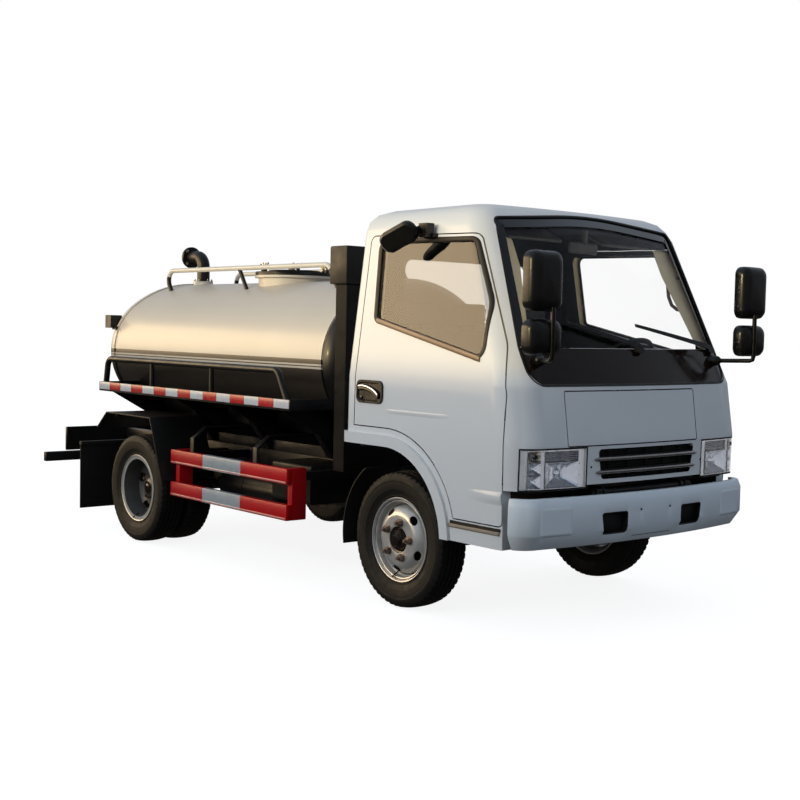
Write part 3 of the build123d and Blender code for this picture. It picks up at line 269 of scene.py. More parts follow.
WHITE = paint_white("cab_paint", (0.80, 0.81, 0.82))
BUMPER = paint_white("bumper_paint", (0.79, 0.85, 0.90))
CREAM = paint_white("rail_paint", (0.72, 0.68, 0.61))
TANK = tank_paint()
GUARD = guard_paint()
BLACK = paint_dark("chassis_paint", (0.009, 0.009, 0.010), 0.42, 0.15, 0.12, specular=0.35)
PLASTIC = paint_dark("dark_plastic", (0.009, 0.009, 0.009), 0.5, 0.3, 0.2, high=1.0, specular=0.3)
CASE = paint_dark("mirror_case", (0.006, 0.006, 0.006), 0.3, 0.1, specular=0.4)
GLOSS = paint_dark("gloss_dark", (0.012, 0.006, 0.004), 0.16, 0.02, 0.2, coat=0.1, specular=0.35)
# Dark liner: real underseal in the arches, and painted shade where it is put on undersides
LINER_AND_SHADE = paint_dark("arch_liner_and_painted_shade", (0.008, 0.008, 0.008), 0.8, 0.8, 0.5, high=1.2)
DASH = paint_dark("dash_grain", (0.045, 0.038, 0.033), 0.6, 0.6)
CLOTH = paint_dark("seat_weave", (0.075, 0.068, 0.062), 0.85, 0.8)
TRIM = paint_dark("cab_trim", (0.012, 0.012, 0.016), 0.8, 0.5, specular=0.3)
# Warm cream that stands in for low sun falling on pale inner faces: painted sunlight
SUNLIT_PILLAR = paint_dark("pillar_painted_sunlight", (0.62, 0.50, 0.30), 0.6, 0.3, specular=0.3)
GRIP = paint_dark("grab_handle_grip", (0.16, 0.035, 0.025), 0.45, 0.2)
BELT = paint_dark("belt_rubber", (0.20, 0.125, 0.075), 0.4, 0.1, coat=0.2)
STEP = paint_dark("step_strip", (0.26, 0.22, 0.17), 0.55, 0.4)
# Pale red for the guard ribs: painted highlight
RIB_HIGHLIGHT = paint_dark("rib_painted_highlight", (0.66, 0.22, 0.20), 0.35, 0.1, coat=0.3)
RED_LENS = paint_dark("red_lens", (0.30, 0.008, 0.008), 0.14, 0.02, 0.2, low=0.3, high=0.8, coat=0.6)
FRIT = paint_dark("screen_border_print", (0.006, 0.006, 0.007), 0.1, 0.0, coat=0.6)
PALE = paint_dark("lamp_pale_lens", (0.34, 0.35, 0.35), 0.3, 0.02, coat=0.3)
TYRE = rubber("tyre_compound", (0.009, 0.009, 0.009), 0.66, 0.35, 420.0)
FLAP = rubber("flap_compound", (0.014, 0.014, 0.014), 0.65, 0.3, 180.0)
SEAL = rubber("seal_rubber", (0.016, 0.014, 0.012), 0.5, 0.2, 300.0)
SILVER = metal("wheel_paint", (0.60, 0.60, 0.59), 0.36, 0.07, 0.45, 0.03, 500.0, 0.2)
# Darker copy of the wheel paint: painted shade on the rear wheels' inner dish and barrel
DISC_SHADE = metal("wheel_paint_painted_shade", (0.11, 0.11, 0.11), 0.5, 0.08, 0.4, 0.06, 300.0)
CAST = metal("cast_finish", (0.07, 0.068, 0.065), 0.6, 0.1, 0.5, 0.5, 120.0)
STEEL = metal("spring_finish", (0.05, 0.048, 0.046), 0.55, 0.1, 0.5, 0.3, 160.0)
# Bright metal strip that stands in for the highlight on the dark handle lever's top edge: painted highlight
LEVER_HIGHLIGHT = metal("lever_painted_highlight", (0.72, 0.72, 0.74), 0.16, 0.05, 1.0, 0.01, 300.0)
ZINC = metal("zinc_plate", (0.52, 0.48, 0.40), 0.36, 0.08, 1.0, 0.08, 300.0)
NUTS = metal("wheel_nut_finish", (0.36, 0.27, 0.22), 0.42, 0.08, 0.8, 0.1, 300.0)
MIRROR = metal("mirror_glass", (0.86, 0.88, 0.88), 0.03, 0.0, 1.0, 0.0, 100.0)
BEZEL = metal("lamp_bezel", (0.42, 0.42, 0.43), 0.3, 0.05, 0.7, 0.02, 300.0)
REFLECTOR = metal("lamp_reflector", (0.36, 0.37, 0.40), 0.12, 0.04, 1.0, 0.01, 300.0)
WARM = metal("lamp_warm_metal", (0.30, 0.26, 0.22), 0.22, 0.04, 0.9, 0.02, 300.0)
BAR = metal("grille_bar_metal", (0.40, 0.37, 0.36), 0.24, 0.05, 0.9, 0.02, 300.0, 0.4)
GLASS = clear("window_glass", (1.0, 1.0, 1.0), 0.0, 1.18)
SHADED_GLASS = clear("shaded_glass", (0.50, 0.48, 0.44), 0.0, 1.5)
SCREEN_GLASS = clear("screen_glass", (1.0, 1.0, 1.0), 0.0, 1.2)
LENS = clear("lamp_lens", (0.97, 0.98, 1.0), 0.01, 1.3)
TAPE_WHITE = tape("tape_white", (0.78, 0.78, 0.78))
TAPE_RED = tape("tape_red", (0.66, 0.006, 0.012))

NODE_LOOKS = (
    (BLACK, "frame_rails crossmembers cab_mounts fuel_tank tank_bearers tank_fittings hose_trays tray_rails"
            " rear_bars cab_floor manhole_lid"),
    (PLASTIC, "battery_box air_intake rear_fenders grille steering_wheel wipers door_handle_right"
              " door_handle_left"),
    (CAST, "front_axle_beam rear_axle engine silencer knuckle_right knuckle_left"),
    (STEEL, "leaf_springs driveshaft tie_rod"),
    (WHITE, "cab_shell front_panel wheel_flares front_lid door_right door_left"),
    (BUMPER, "front_bumper"),
    (TANK, "tank_shell manhole_neck"),
    (CREAM, "top_rails"),
    (GUARD, "guard_rails guard_posts"),
    (FLAP, "mud_flaps"),
    (RED_LENS, "tail_lamps"),
    (GLOSS, "cowl_panel"),
    (LENS, "headlamps"),
    (SCREEN_GLASS, "cab_glass"),
    (SHADED_GLASS, "door_glass_right"),
    (GLASS, "door_glass_left"),
    (DASH, "dashboard"),
    (CLOTH, "seats"),
    (CASE, "mirrors kerb_mirror"),
    (SILVER, "wheel_front_right wheel_front_left wheels_rear_right wheels_rear_left"),
    (TYRE, "tyre_front_right tyre_front_left tyres_rear_right tyres_rear_left"),
)
CREASE_ANGLE = math.radians(38)
EDGE_ANGLE = math.radians(40)
EDGE_WIDTHS = {
    "frame_rails": 0.002, "front_bumper": 0.004, "hose_trays": 0.0015, "rear_bars": 0.003,
    "battery_box": 0.004, "air_intake": 0.008, "guard_rails": 0.004, "guard_posts": 0.003,
    "tail_lamps": 0.004, "engine": 0.008, "front_axle_beam": 0.004, "tank_bearers": 0.002,
    "door_handle_right": 0.002, "door_handle_left": 0.002, "fuel_tank": 0.003, "rear_fenders": 0.002,
    "mud_flaps": 0.002, "dashboard": 0.006,
}


def dress(name, material):
    """Gives a CAD node its material, soft creases and, where asked, broken edges."""
    obj = nodes[name]
    mesh = obj.data
    mesh.materials.clear()
    mesh.materials.append(material)
    if "custom_normal" in mesh.attributes:
        mesh.attributes.remove(mesh.attributes["custom_normal"])
    mesh.polygons.foreach_set("material_index", [0] * len(mesh.polygons))
    mesh.polygons.foreach_set("use_smooth", [True] * len(mesh.polygons))
    weld = obj.modifiers.new("weld", "WELD")
    weld.merge_threshold = 0.00002
    if name in EDGE_WIDTHS:
        edge = obj.modifiers.new("edge", "BEVEL")
        edge.width = EDGE_WIDTHS[name]
        edge.segments = 2
        edge.limit_method = "ANGLE"
        edge.angle_limit = EDGE_ANGLE
        edge.use_clamp_overlap = True
    split = obj.modifiers.new("crease", "EDGE_SPLIT")
    split.split_angle = CREASE_ANGLE


for look, node_names in NODE_LOOKS:
    for node_name in node_names.split():
        dress(node_name, look)


def paint_faces(name, material, chosen):
    """Gives the faces of a CAD node that pass a test another material."""
    mesh = nodes[name].data
    mesh.materials.append(material)
    index = len(mesh.materials) - 1
    for face in mesh.polygons:
        if chosen(face.center, face.normal):
            face.material_index = index


# Dark trim inside the cab, underseal in the wheel arches, and painted shade on the cab's undersides, where
# down-facing faces low down get the dark liner colour
CAB_MIDDLE = Vector((FRONT_X + 0.015, 0.0, 1.45))
ARCH_REACH = 0.66
SHADED_UNDERSIDE_Z = 0.9


def faces_inside(centre, normal):
    return normal.dot((CAB_MIDDLE - centre).normalized()) > 0.2


# Faces round the wheels are underseal; down-facing faces low on the cab get the same dark colour as painted
# shade
def arch_and_shaded_underside(centre, normal):
    to_wheel = Vector((FRONT_X, centre.y, WHEEL_Z)) - centre
    near = to_wheel.length < ARCH_REACH and normal.dot(to_wheel.normalized()) > 0.3
    return near or (normal.z < -0.7 and centre.z < SHADED_UNDERSIDE_Z)


for node_name in ("cab_shell", "door_right", "door_left", "front_lid", "front_panel", "cowl_panel"):
    paint_faces(node_name, TRIM, faces_inside)
for node_name in ("cab_shell", "door_right", "door_left", "wheel_flares"):
    paint_faces(node_name, LINER_AND_SHADE, arch_and_shaded_underside)


# Parts of a node that have a colour of their own. Some carry painted light instead: painted shade on the rear
# wheels' inner dishes, and painted sunlight on the inner A-pillars and the doors' forward frame faces
GUARD_POST_X = (0.293, -0.440)
GUARD_POST_REACH = 0.03
GUARD_TIE_LOW = 0.585
GUARD_TIE_HIGH = 0.645
GUARD_TIE_Y = 0.84
PILLAR_LOW = 1.3
PILLAR_HIGH = 1.86
PILLAR_X = FRONT_X + 0.5
PILLAR_Y = 0.6
DOOR_PILLAR_LOW = 1.25
DISC_SHADE_RADIUS = 0.200
RAIL_FEET_HIGH = 1.836
CREAM_LOW = 1.5
CREAM_HIGH = 1.822
CREAM_REAR_X = -2.0


def guard_tie(centre, normal):
    post = min(abs(centre.x - x) for x in GUARD_POST_X) < GUARD_POST_REACH
    return post or (GUARD_TIE_LOW < centre.z < GUARD_TIE_HIGH and abs(centre.y) < GUARD_TIE_Y)


# The cab's inner A-pillar faces and the doors' forward-facing frame faces high up get painted warm sunlight
def screen_pillar(centre, normal):
    at_pillar = PILLAR_LOW < centre.z < PILLAR_HIGH and centre.x > PILLAR_X and abs(centre.y) > PILLAR_Y
    return at_pillar and faces_inside(centre, normal)


def door_pillar(centre, normal):
    return normal.x > 0.6 and centre.z > DOOR_PILLAR_LOW


def cream_fitting(centre, normal):
    return CREAM_LOW < centre.z < CREAM_HIGH and centre.x > CREAM_REAR_X


# Faces of the rear wheels within this radius of the axle get the darker wheel paint as painted shade
def wheel_dish(centre, normal):
    return math.hypot(centre.x - REAR_X, centre.z - WHEEL_Z) < DISC_SHADE_RADIUS


paint_faces("guard_posts", BLACK, guard_tie)
paint_faces("cab_shell", SUNLIT_PILLAR, screen_pillar)
for side, name in SIDES:
    paint_faces("door_" + name, SUNLIT_PILLAR, door_pillar)
    paint_faces("wheels_rear_" + name, DISC_SHADE, wheel_dish)
paint_faces("top_rails", BLACK, lambda centre, normal: centre.z < RAIL_FEET_HIGH)
paint_faces("tank_fittings", CREAM, cream_fitting)
paint_faces("kerb_mirror", MIRROR, lambda centre, normal: normal.x < -0.96)


# Mesh helpers
def linked(name, data):
    obj = bpy.data.objects.new(name, data)
    bpy.context.scene.collection.objects.link(obj)
    return obj


def sort_parts(parts, place_of):
    for rank, part in enumerate(sorted(parts, key=place_of)):
        part.index = rank
    parts.sort()


def piece(name, bm, material, body, angle=35.0):
    """Makes an object of a bmesh in the row frame that rides on a body."""
    mesh = bpy.data.meshes.new(name)
    bmesh.ops.recalc_face_normals(bm, faces=bm.faces)
    # A bevel makes its parts in an order that varies between runs
    sort_parts(bm.verts, lambda v: v.co.to_tuple(6))
    sort_parts(bm.faces, lambda f: f.calc_center_median().to_tuple(6))
    bm.to_mesh(mesh)
    bm.free()
    mesh.polygons.foreach_set("use_smooth", [True] * len(mesh.polygons))
    mesh.set_sharp_from_angle(angle=math.radians(angle))
    for one in material if isinstance(material, list) else [material]:
        mesh.materials.append(one)
    obj = linked(name, mesh)
    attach(obj, body)
    return obj


def rows(bm, rings, closed_ring=True, closed_rows=False, index=0):
    """Joins rings of points with quads."""
    made = [[bm.verts.new(p) for p in ring] for ring in rings]
    count = len(made[0])
    pairs = list(zip(made[:-1], made[1:]))
    if closed_rows:
        pairs.append((made[-1], made[0]))
    for a, b in pairs:
        last = count if closed_ring else count - 1
        for i in range(last):
            j = (i + 1) % count
            face = bm.faces.new((a[i], a[j], b[j], b[i]))
            face.material_index = index
    return made


def grid(bm, columns, levels, at, index=0):
    """A sheet of quads; at gives the point for the shares along and up."""
    rings = []
    for i in range(columns + 1):
        rings.append([at(i / columns, j / levels) for j in range(levels + 1)])
    return rows(bm, rings, closed_ring=False, index=index)


def capped(bm, rings, index=0):
    """Joins rings of points and closes both ends."""
    made = rows(bm, rings, index=index)
    for ring in (made[0], made[-1]):
        bm.faces.new(ring).material_index = index


def spun(bm, profile, centre, axis, segments=64, closed_rows=False, index=0):
    """Turns (along, radius) points about an axis through a centre."""
    axis = Vector(axis).normalized()
    side = axis.orthogonal().normalized()
    other = axis.cross(side)
    centre = Vector(centre)
    rings = []
    for along, radius in profile:
        ring = []
        for k in range(segments):
            angle = 2 * math.pi * k / segments
            arm = side * math.cos(angle) + other * math.sin(angle)
            ring.append(centre + axis * along + arm * max(radius, 1e-5))
        rings.append(ring)
    return rows(bm, rings, True, closed_rows, index)


def block(bm, low, high, radius, segments=2, index=0, turn=None):
    """A box with rounded edges."""
    low, high = Vector(low), Vector(high)
    size = high - low
    corners = bmesh.ops.create_cube(bm, size=1.0)["verts"]
    for v in corners:
        v.co = Vector((v.co.x * size.x, v.co.y * size.y, v.co.z * size.z))
    sides = list(dict.fromkeys(f for v in corners for f in v.link_faces))
    edges = list(dict.fromkeys(e for v in corners for e in v.link_edges))
    result = bmesh.ops.bevel(bm, geom=edges, offset=radius, segments=segments, profile=0.5,
                             affect="EDGES")
    faces = list(dict.fromkeys([f for f in sides if f.is_valid] + list(result["faces"])))
    middle = (low + high) / 2
    for v in dict.fromkeys(v for f in faces for v in f.verts):
        co = turn @ v.co if turn is not None else v.co
        v.co = co + middle
    for f in faces:
        f.material_index = index


def nut(bm, centre, axis, across, height, washer, stud, index=0):
    """A hex nut on a washer, with the end of its stud."""
    axis = Vector(axis).normalized()
    centre = Vector(centre)
    r = across / 2
    ring = [(0, 0), (0, r * washer), (height * 0.18, r * washer), (height * 0.2, 0)]
    spun(bm, ring, centre, axis, 24, index=index)
    hexagon = [(height * 0.15, 0), (height * 0.15, r * 1.12), (height * 0.9, r * 1.12),
               (height, r * 0.95), (height, 0)]
    spun(bm, hexagon, centre, axis, 6, index=index)
    end = [(height * 0.9, 0), (height * 0.9, r * 0.55), (height + stud * 0.85, r * 0.55),
           (height + stud, r * 0.4), (height + stud, 0)]
    spun(bm, end, centre, axis, 14, index=index)


def pipe(bm, points, radius, segments=12, index=0):
    """A round bar through points."""
    points = [Vector(p) for p in points]
    rings = []
    normal = None
    for i, p in enumerate(points):
        before = points[max(i - 1, 0)]
        after = points[min(i + 1, len(points) - 1)]
        ahead = (after - before).normalized()
        if normal is None:
            normal = ahead.orthogonal().normalized()
        normal = (normal - ahead * normal.dot(ahead)).normalized()
        other = ahead.cross(normal)
        ring = []
        for k in range(segments):
            angle = 2 * math.pi * k / segments
            ring.append(p + (normal * math.cos(angle) + other * math.sin(angle)) * radius)
        rings.append(ring)
    capped(bm, rings, index)


# Tyres with ribs, zigzag grooves and shoulder slots
TREAD_PITCHES = 56
GROOVES = (-0.046, -0.0155, 0.0155, 0.046)
GROOVE_HALF = 0.0042
GROOVE_DEPTH = 0.011


def crown_radius(y):
    """Radius of the tread at a distance from the tyre's middle."""
    return TYRE_R - 0.0006 - 0.0075 * (abs(y) / 0.078) ** 2.4


SHOULDER_Y = 0.0801
SHOULDER_R = 0.3475
ZIGZAG = 0.0022
SIDEWALL = [
    # distance from the middle, radius
    (0.0640, 0.2060), (0.0655, 0.2200), (0.0690, 0.2290), (0.0745, 0.2330), (0.0765, 0.2365),
    (0.0760, 0.2395), (0.0800, 0.2480), (0.0865, 0.2640), (0.0875, 0.2660), (0.0885, 0.2668),
    (0.0895, 0.2690), (0.0896, 0.2710), (0.0915, 0.2790), (0.0936, 0.2940), (0.0946, 0.3060),
    (0.0943, 0.3140), (0.0948, 0.3150), (0.0948, 0.3172), (0.0938, 0.3182), (0.0925, 0.3270),
    (0.0905, 0.3360), (0.0895, 0.3372), (0.0888, 0.3395),
]


def tyre(bm, x, y, side):
    steps = TREAD_PITCHES * 4
    rings = []
    tread = [0.0862, 0.0800, 0.0700]
    for groove in sorted(GROOVES, reverse=True):
        tread += [(groove, 1, False), (groove, 1, True), (groove, -1, True), (groove, -1, False)]
    tread += [-0.0700, -0.0800, -0.0862]
    for k in range(steps):
        phase = k % 4
        angle = 2 * math.pi * k / steps
        zig = ZIGZAG if phase in (0, 1) else -ZIGZAG
        section = list(SIDEWALL)
        for place_in in tread:
            if isinstance(place_in, tuple):
                groove, edge, deep = place_in
                shift = zig if abs(groove) < 0.03 else -zig
                half = GROOVE_HALF * (0.55 if deep else 1.0)
                at = groove + shift + edge * half
                section.append((at, crown_radius(at) - (GROOVE_DEPTH if deep else 0.0)))
            else:
                at = place_in
                radius = crown_radius(at) if abs(at) < SHOULDER_Y else SHOULDER_R
                if phase == 3 and abs(at) > 0.069:
                    radius -= 0.006 if abs(at) < SHOULDER_Y else 0.003
                section.append((at, radius))
        section += [(-d, r) for d, r in reversed(SIDEWALL)]
        ring = []
        for d, r in section:
            ring.append((x + r * math.sin(angle), side * (y + d), WHEEL_Z + r * math.cos(angle)))
        rings.append(ring)
    rows(bm, rings, closed_ring=False, closed_rows=True)


def make_tyres():
    for side, name in SIDES:
        bm = bmesh.new()
        tyre(bm, FRONT_X, FRONT_WHEEL_Y, side)
        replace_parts(piece("tread_front_" + name, bm, TYRE, "wheel_front_" + name, 30), "tyre_front_" + name)
        bm = bmesh.new()
        tyre(bm, REAR_X, REAR_OUTER_Y, side)
        tyre(bm, REAR_X, REAR_INNER_Y, side)
        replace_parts(piece("treads_rear_" + name, bm, TYRE, "wheels_rear_" + name, 30), "tyres_rear_" + name)


# Wheel nuts, hub caps, rim lips and valves
WHEEL_NUTS = 5
RIM_LIP = 0.0725
VALVE_ANGLE = math.radians(258)


def wheel_dress(bm, x, side, disc_y, cap_y, nut_ring, rim_y):
    outward = (0, side, 0)
    for i in range(WHEEL_NUTS):
        angle = 2 * math.pi * (i + 0.08) / WHEEL_NUTS
        centre = (x + nut_ring * math.cos(angle), side * disc_y, WHEEL_Z + nut_ring * math.sin(angle))
        nut(bm, centre, outward, 0.034, 0.026, 1.28, 0.018, 1)
    cap = [(-0.012, 0.066), (0.0, 0.0665), (0.026, 0.064), (0.040, 0.058), (0.046, 0.050), (0.047, 0.030),
           (0.056, 0.026), (0.060, 0.018), (0.0605, 0.0)]
    if cap_y:
        spun(bm, cap, (x, side * cap_y, WHEEL_Z), outward, 40, index=2)
    lip = [(0.0, 0.2255), (0.0035, 0.2262), (0.0055, 0.2235), (0.0040, 0.2195), (0.0, 0.2175)]
    spun(bm, lip, (x, side * rim_y, WHEEL_Z), outward, 96, True, 0)
    cos, sin = math.cos(VALVE_ANGLE), math.sin(VALVE_ANGLE)
    foot = Vector((x + 0.183 * cos, side * (rim_y - 0.030), WHEEL_Z + 0.183 * sin))
    tip = Vector((x + 0.212 * cos, side * (rim_y + 0.006), WHEEL_Z + 0.212 * sin))
    pipe(bm, [foot, foot.lerp(tip, 0.55) + Vector((0, side * 0.006, 0)), tip], 0.0042, 10, 2)


HAND_HOLES = 5
DISC_FLAT = 0.130
DISC_SHOULDER = 0.178
DISC_EDGE = 0.188
DISC_WALL = 0.007


def disc_drop(radius):
    """How far the wheel disc falls back from its flat face."""
    slope = min(max(radius - DISC_FLAT, 0.0) / (DISC_SHOULDER - DISC_FLAT), 1.0)
    wall = max(radius - DISC_SHOULDER, 0.0) / (DISC_EDGE - DISC_SHOULDER)
    return 0.032 * slope ** 1.6 + 0.042 * wall


def road_wheel(bm, x, side, face_y, rim_y):
    """A pressed wheel: rim with a double lip, disc with oval hand holes, dark hub and drum behind."""
    def at(radius, angle, along):
        return (x + radius * math.cos(angle), side * (face_y + along), WHEEL_Z + radius * math.sin(angle))

    rim = [(0.073, 0.226), (0.0745, 0.2225), (0.072, 0.2185), (0.066, 0.216), (0.0635, 0.212),
           (0.0665, 0.2075), (0.0645, 0.203), (0.050, 0.200), (0.034, 0.199), (0.026, 0.190),
           (0.010, 0.186), (-0.020, 0.186), (-0.034, 0.197), (-0.060, 0.201), (-0.066, 0.213),
           (-0.073, 0.221), (-0.073, 0.226), (-0.065, 0.222), (-0.064, 0.209), (-0.034, 0.205),
           (-0.020, 0.194), (0.010, 0.194), (0.026, 0.198), (0.036, 0.206), (0.064, 0.209), (0.065, 0.222)]
    spun(bm, rim, (x, side * rim_y, WHEEL_Z), (0, side, 0), 90, True, 0)

    across, tall = 18, 8
    half = math.pi / HAND_HOLES
    middle_r = 0.157
    for hole in range(HAND_HOLES):
        centre = 2 * math.pi * (hole + 0.65) / HAND_HOLES
        edge = []
        for k in range(across):
            edge.append((-half + 2 * half * k / across, DISC_FLAT))
        for k in range(tall):
            edge.append((half, DISC_FLAT + (DISC_EDGE - DISC_FLAT) * k / tall))
        for k in range(across):
            edge.append((half - 2 * half * k / across, DISC_EDGE))
        for k in range(tall):
            edge.append((-half, DISC_EDGE - (DISC_EDGE - DISC_FLAT) * k / tall))
        oval = []
        for turn, radius in edge:
            phase = math.atan2((radius - middle_r) / 0.029, turn / half)
            oval.append((0.185 * math.cos(phase), middle_r + 0.0165 * math.sin(phase)))
        shares = (1.0, 0.8, 0.6, 0.4, 0.22, 0.08, 0.0)
        sheets = [(share, 0.0) for share in shares] + [(share, -DISC_WALL) for share in reversed(shares)]
        rings = []
        for share, back in sheets:
            ring = []
            for (t0, r0), (t1, r1) in zip(oval, edge):
                radius = r0 + (r1 - r0) * share
                ring.append(at(radius, centre + t0 + (t1 - t0) * share, back - disc_drop(radius)))
            rings.append(ring)
        rows(bm, rings)
    start = 2 * math.pi * 0.65 / HAND_HOLES - half
    count = across * HAND_HOLES
    flat = [(DISC_FLAT, 0.0), (0.115, 0.0), (0.098, 0.0), (0.0765, 0.0), (0.0725, -0.001), (0.0707, -0.004),
            (0.0707, -DISC_WALL), (0.098, -DISC_WALL), (DISC_FLAT, -DISC_WALL)]
    rows(bm, [[at(r, start + 2 * math.pi * k / count, along) for k in range(count)] for r, along in flat])
    bmesh.ops.remove_doubles(bm, verts=bm.verts, dist=0.00002)
    hub = [(-0.085, 0.0), (-0.085, 0.168), (-0.089, 0.172), (-0.130, 0.172), (-0.132, 0.168), (-0.132, 0.0)]
    spun(bm, hub, (x, side * face_y, WHEEL_Z), (0, side, 0), 60, index=1)
    nave = [(-0.087, 0.0700), (-0.009, 0.0700), (-0.012, 0.062), (-0.004, 0.058), (0.004, 0.054),
            (0.006, 0.036), (0.014, 0.033), (0.020, 0.026), (0.022, 0.012), (0.0225, 0.0)]
    spun(bm, nave, (x, side * face_y, WHEEL_Z), (0, side, 0), 48, index=1)


def make_road_wheels():
    for side, name in SIDES:
        bm = bmesh.new()
        road_wheel(bm, FRONT_X, side, FRONT_FACE_Y, FRONT_WHEEL_Y)
        wheel = piece("road_wheel_" + name, bm, [SILVER, GLOSS], "wheel_front_" + name, 32)
        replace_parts(wheel, "wheel_front_" + name)


def make_wheel_parts():
    looks = [SILVER, NUTS, GLOSS]
    for side, name in SIDES:
        bm = bmesh.new()
        wheel_dress(bm, FRONT_X, side, FRONT_FACE_Y, 0.0, 0.097, FRONT_WHEEL_Y + RIM_LIP)
        piece("wheel_parts_front_" + name, bm, looks, "wheel_front_" + name)
        bm = bmesh.new()
        wheel_dress(bm, REAR_X, side, REAR_DISC_Y, REAR_DISC_Y + 0.008, 0.101, REAR_OUTER_Y + RIM_LIP)
        piece("wheel_parts_rear_" + name, bm, looks, "wheels_rear_" + name)


make_tyres()
make_road_wheels()
make_wheel_parts()


# The cab's outer skin: plan sections from the sill to the roof
CAB_LEVELS = [
    # height, half width, front reach, bow, corner radius
    (0.432, 0.880, 0.985, 0.045, 0.170),
    (0.940, 0.885, 0.992, 0.045, 0.170),
    (1.222, 0.882, 0.954, 0.050, 0.170),
    (2.010, 0.780, 0.590, 0.042, 0.130),
    (2.066, 0.762, 0.552, 0.042, 0.125),
    (2.106, 0.724, 0.512, 0.042, 0.110),
    (2.130, 0.656, 0.456, 0.040, 0.090),
]


def cab_at(z, inset=0.0):
    z = min(max(z, CAB_LEVELS[0][0]), CAB_LEVELS[-1][0])
    for low, high in zip(CAB_LEVELS[:-1], CAB_LEVELS[1:]):
        if z <= high[0]:
            share = (z - low[0]) / (high[0] - low[0])
            half, front, bow, corner = [a + (b - a) * share for a, b in zip(low[1:], high[1:])]
            break
    return half - inset, FRONT_X + front - inset, bow, corner - 0.6 * inset


def side_y(x, z, inset=0.0):
    """Half width of the cab at a point seen from the side."""
    half, front, bow, corner = cab_at(z, inset)
    start = front - bow - corner
    if x <= start:
        return half
    reach = min(x - start, corner * 0.999)
    return half - corner + math.sqrt(corner ** 2 - reach ** 2)


def front_x(y, z, inset=0.0):
    """How far forward the cab's skin stands at a point seen from the front."""
    half, front, bow, corner = cab_at(z, inset)
    flat = half - corner
    if abs(y) <= flat:
        return front - bow * (y / flat) ** 2
    reach = min(abs(y) - flat, corner * 0.999)
    return front - bow - corner + math.sqrt(corner ** 2 - reach ** 2)


def rounded(points, radii, steps=6, spacing=0.05):
    """A closed outline with round corners, divided so that it follows a curved skin."""
    made = []
    count = len(points)
    for i in range(count):
        here = Vector(points[i])
        before = (Vector(points[i - 1]) - here)
        after = (Vector(points[(i + 1) % count]) - here)
        radius = radii[i]
        angle = before.angle(after) / 2
        cut = min(radius / math.tan(angle), before.length * 0.48, after.length * 0.48)
        if cut < 1e-6:
            made.append(here)
            continue
        real = cut * math.tan(angle)
        middle = (before.normalized() + after.normalized()).normalized()
        centre = here + middle * (real / math.sin(angle))
        first = (here + before.normalized() * cut - centre).normalized()
        last = (here + after.normalized() * cut - centre).normalized()
        sweep = first.angle(last)
        for k in range(steps + 1):
            share = k / steps
            arm = first * math.sin((1 - share) * sweep) + last * math.sin(share * sweep)
            made.append(centre + arm * (real / math.sin(sweep)))
    full = []
    for a, b in zip(made, made[1:] + made[:1]):
        parts = max(1, int((b - a).length / spacing))
        full += [a.lerp(b, k / parts) for k in range(parts)]
    return full


def outward(points):
    """Unit directions that point out of a closed outline."""
    area = sum(a.x * b.y - b.x * a.y for a, b in zip(points, points[1:] + points[:1]))
    sign = 1.0 if area > 0 else -1.0
    made = []
    for i, p in enumerate(points):
        ahead = (points[(i + 1) % len(points)] - points[i - 1]).normalized()
        made.append(Vector((ahead.y, -ahead.x)) * sign)
    return made


def strip(bm, points, section, surface, index=0):
    """Carries a section of (offset outward, height above the skin) round an outline."""
    directions = outward(points)
    rings = []
    for p, d in zip(points, directions):
        rings.append([surface(p + d * out, up) for out, up in section])
    rows(bm, rings, True, True, index)


def on_side(side):
    def surface(p, up):
        return (p.x, side * (side_y(p.x, p.y) + up), p.y)
    return surface


def on_front(p, up):
    return (front_x(p.x, p.y) + up, p.x, p.y)


# Door window seals
WINDOW = [
    # reach from the front axle, height, corner radius
    (-0.222, 1.530, 0.040), (0.648, 1.340, 0.060), (0.650, 1.620, 0.160), (0.496, 1.942, 0.050),
    (-0.252, 1.956, 0.050),
]


def make_seals():
    outline_points = rounded([(FRONT_X + x, z) for x, z, r in WINDOW], [r for x, z, r in WINDOW])
    for side, name in SIDES:
        bm = bmesh.new()
        gasket = [(0.012, -0.001), (0.013, 0.003), (0.008, 0.0055), (-0.004, 0.005), (-0.012, 0.001),
                  (-0.014, -0.009), (-0.011, -0.0125), (0.004, -0.006)]
        strip(bm, outline_points, gasket, on_side(side))
        piece("window_seal_" + name, bm, SEAL, "door_" + name)
        bm = bmesh.new()
        a = Vector((FRONT_X - 0.205, 1.5263))
        b = Vector((FRONT_X + 0.628, 1.3444))
        belt = []
        for k in range(25):
            p = a.lerp(b, k / 24)
            ring = []
            for up, out in ((-0.012, 0.0), (-0.013, 0.006), (-0.006, 0.0095), (0.012, 0.008), (0.016, 0.004),
                            (0.014, -0.006), (-0.002, -0.006)):
                q = p + Vector((0.0, up))
                ring.append((q.x, side * (side_y(q.x, q.y) + out), q.y))
            belt.append(ring)
        capped(bm, belt)
        piece("belt_strip_" + name, bm, BELT, "door_" + name)


# Windscreen border and gasket
SCREEN = [
    # across, height, corner radius
    (-0.776, 1.222, 0.110), (0.776, 1.222, 0.110), (0.780, 1.400, 0.40), (0.690, 2.058, 0.040),
    (0.0, 2.112, 3.0), (-0.690, 2.058, 0.040), (-0.780, 1.400, 0.40),
]


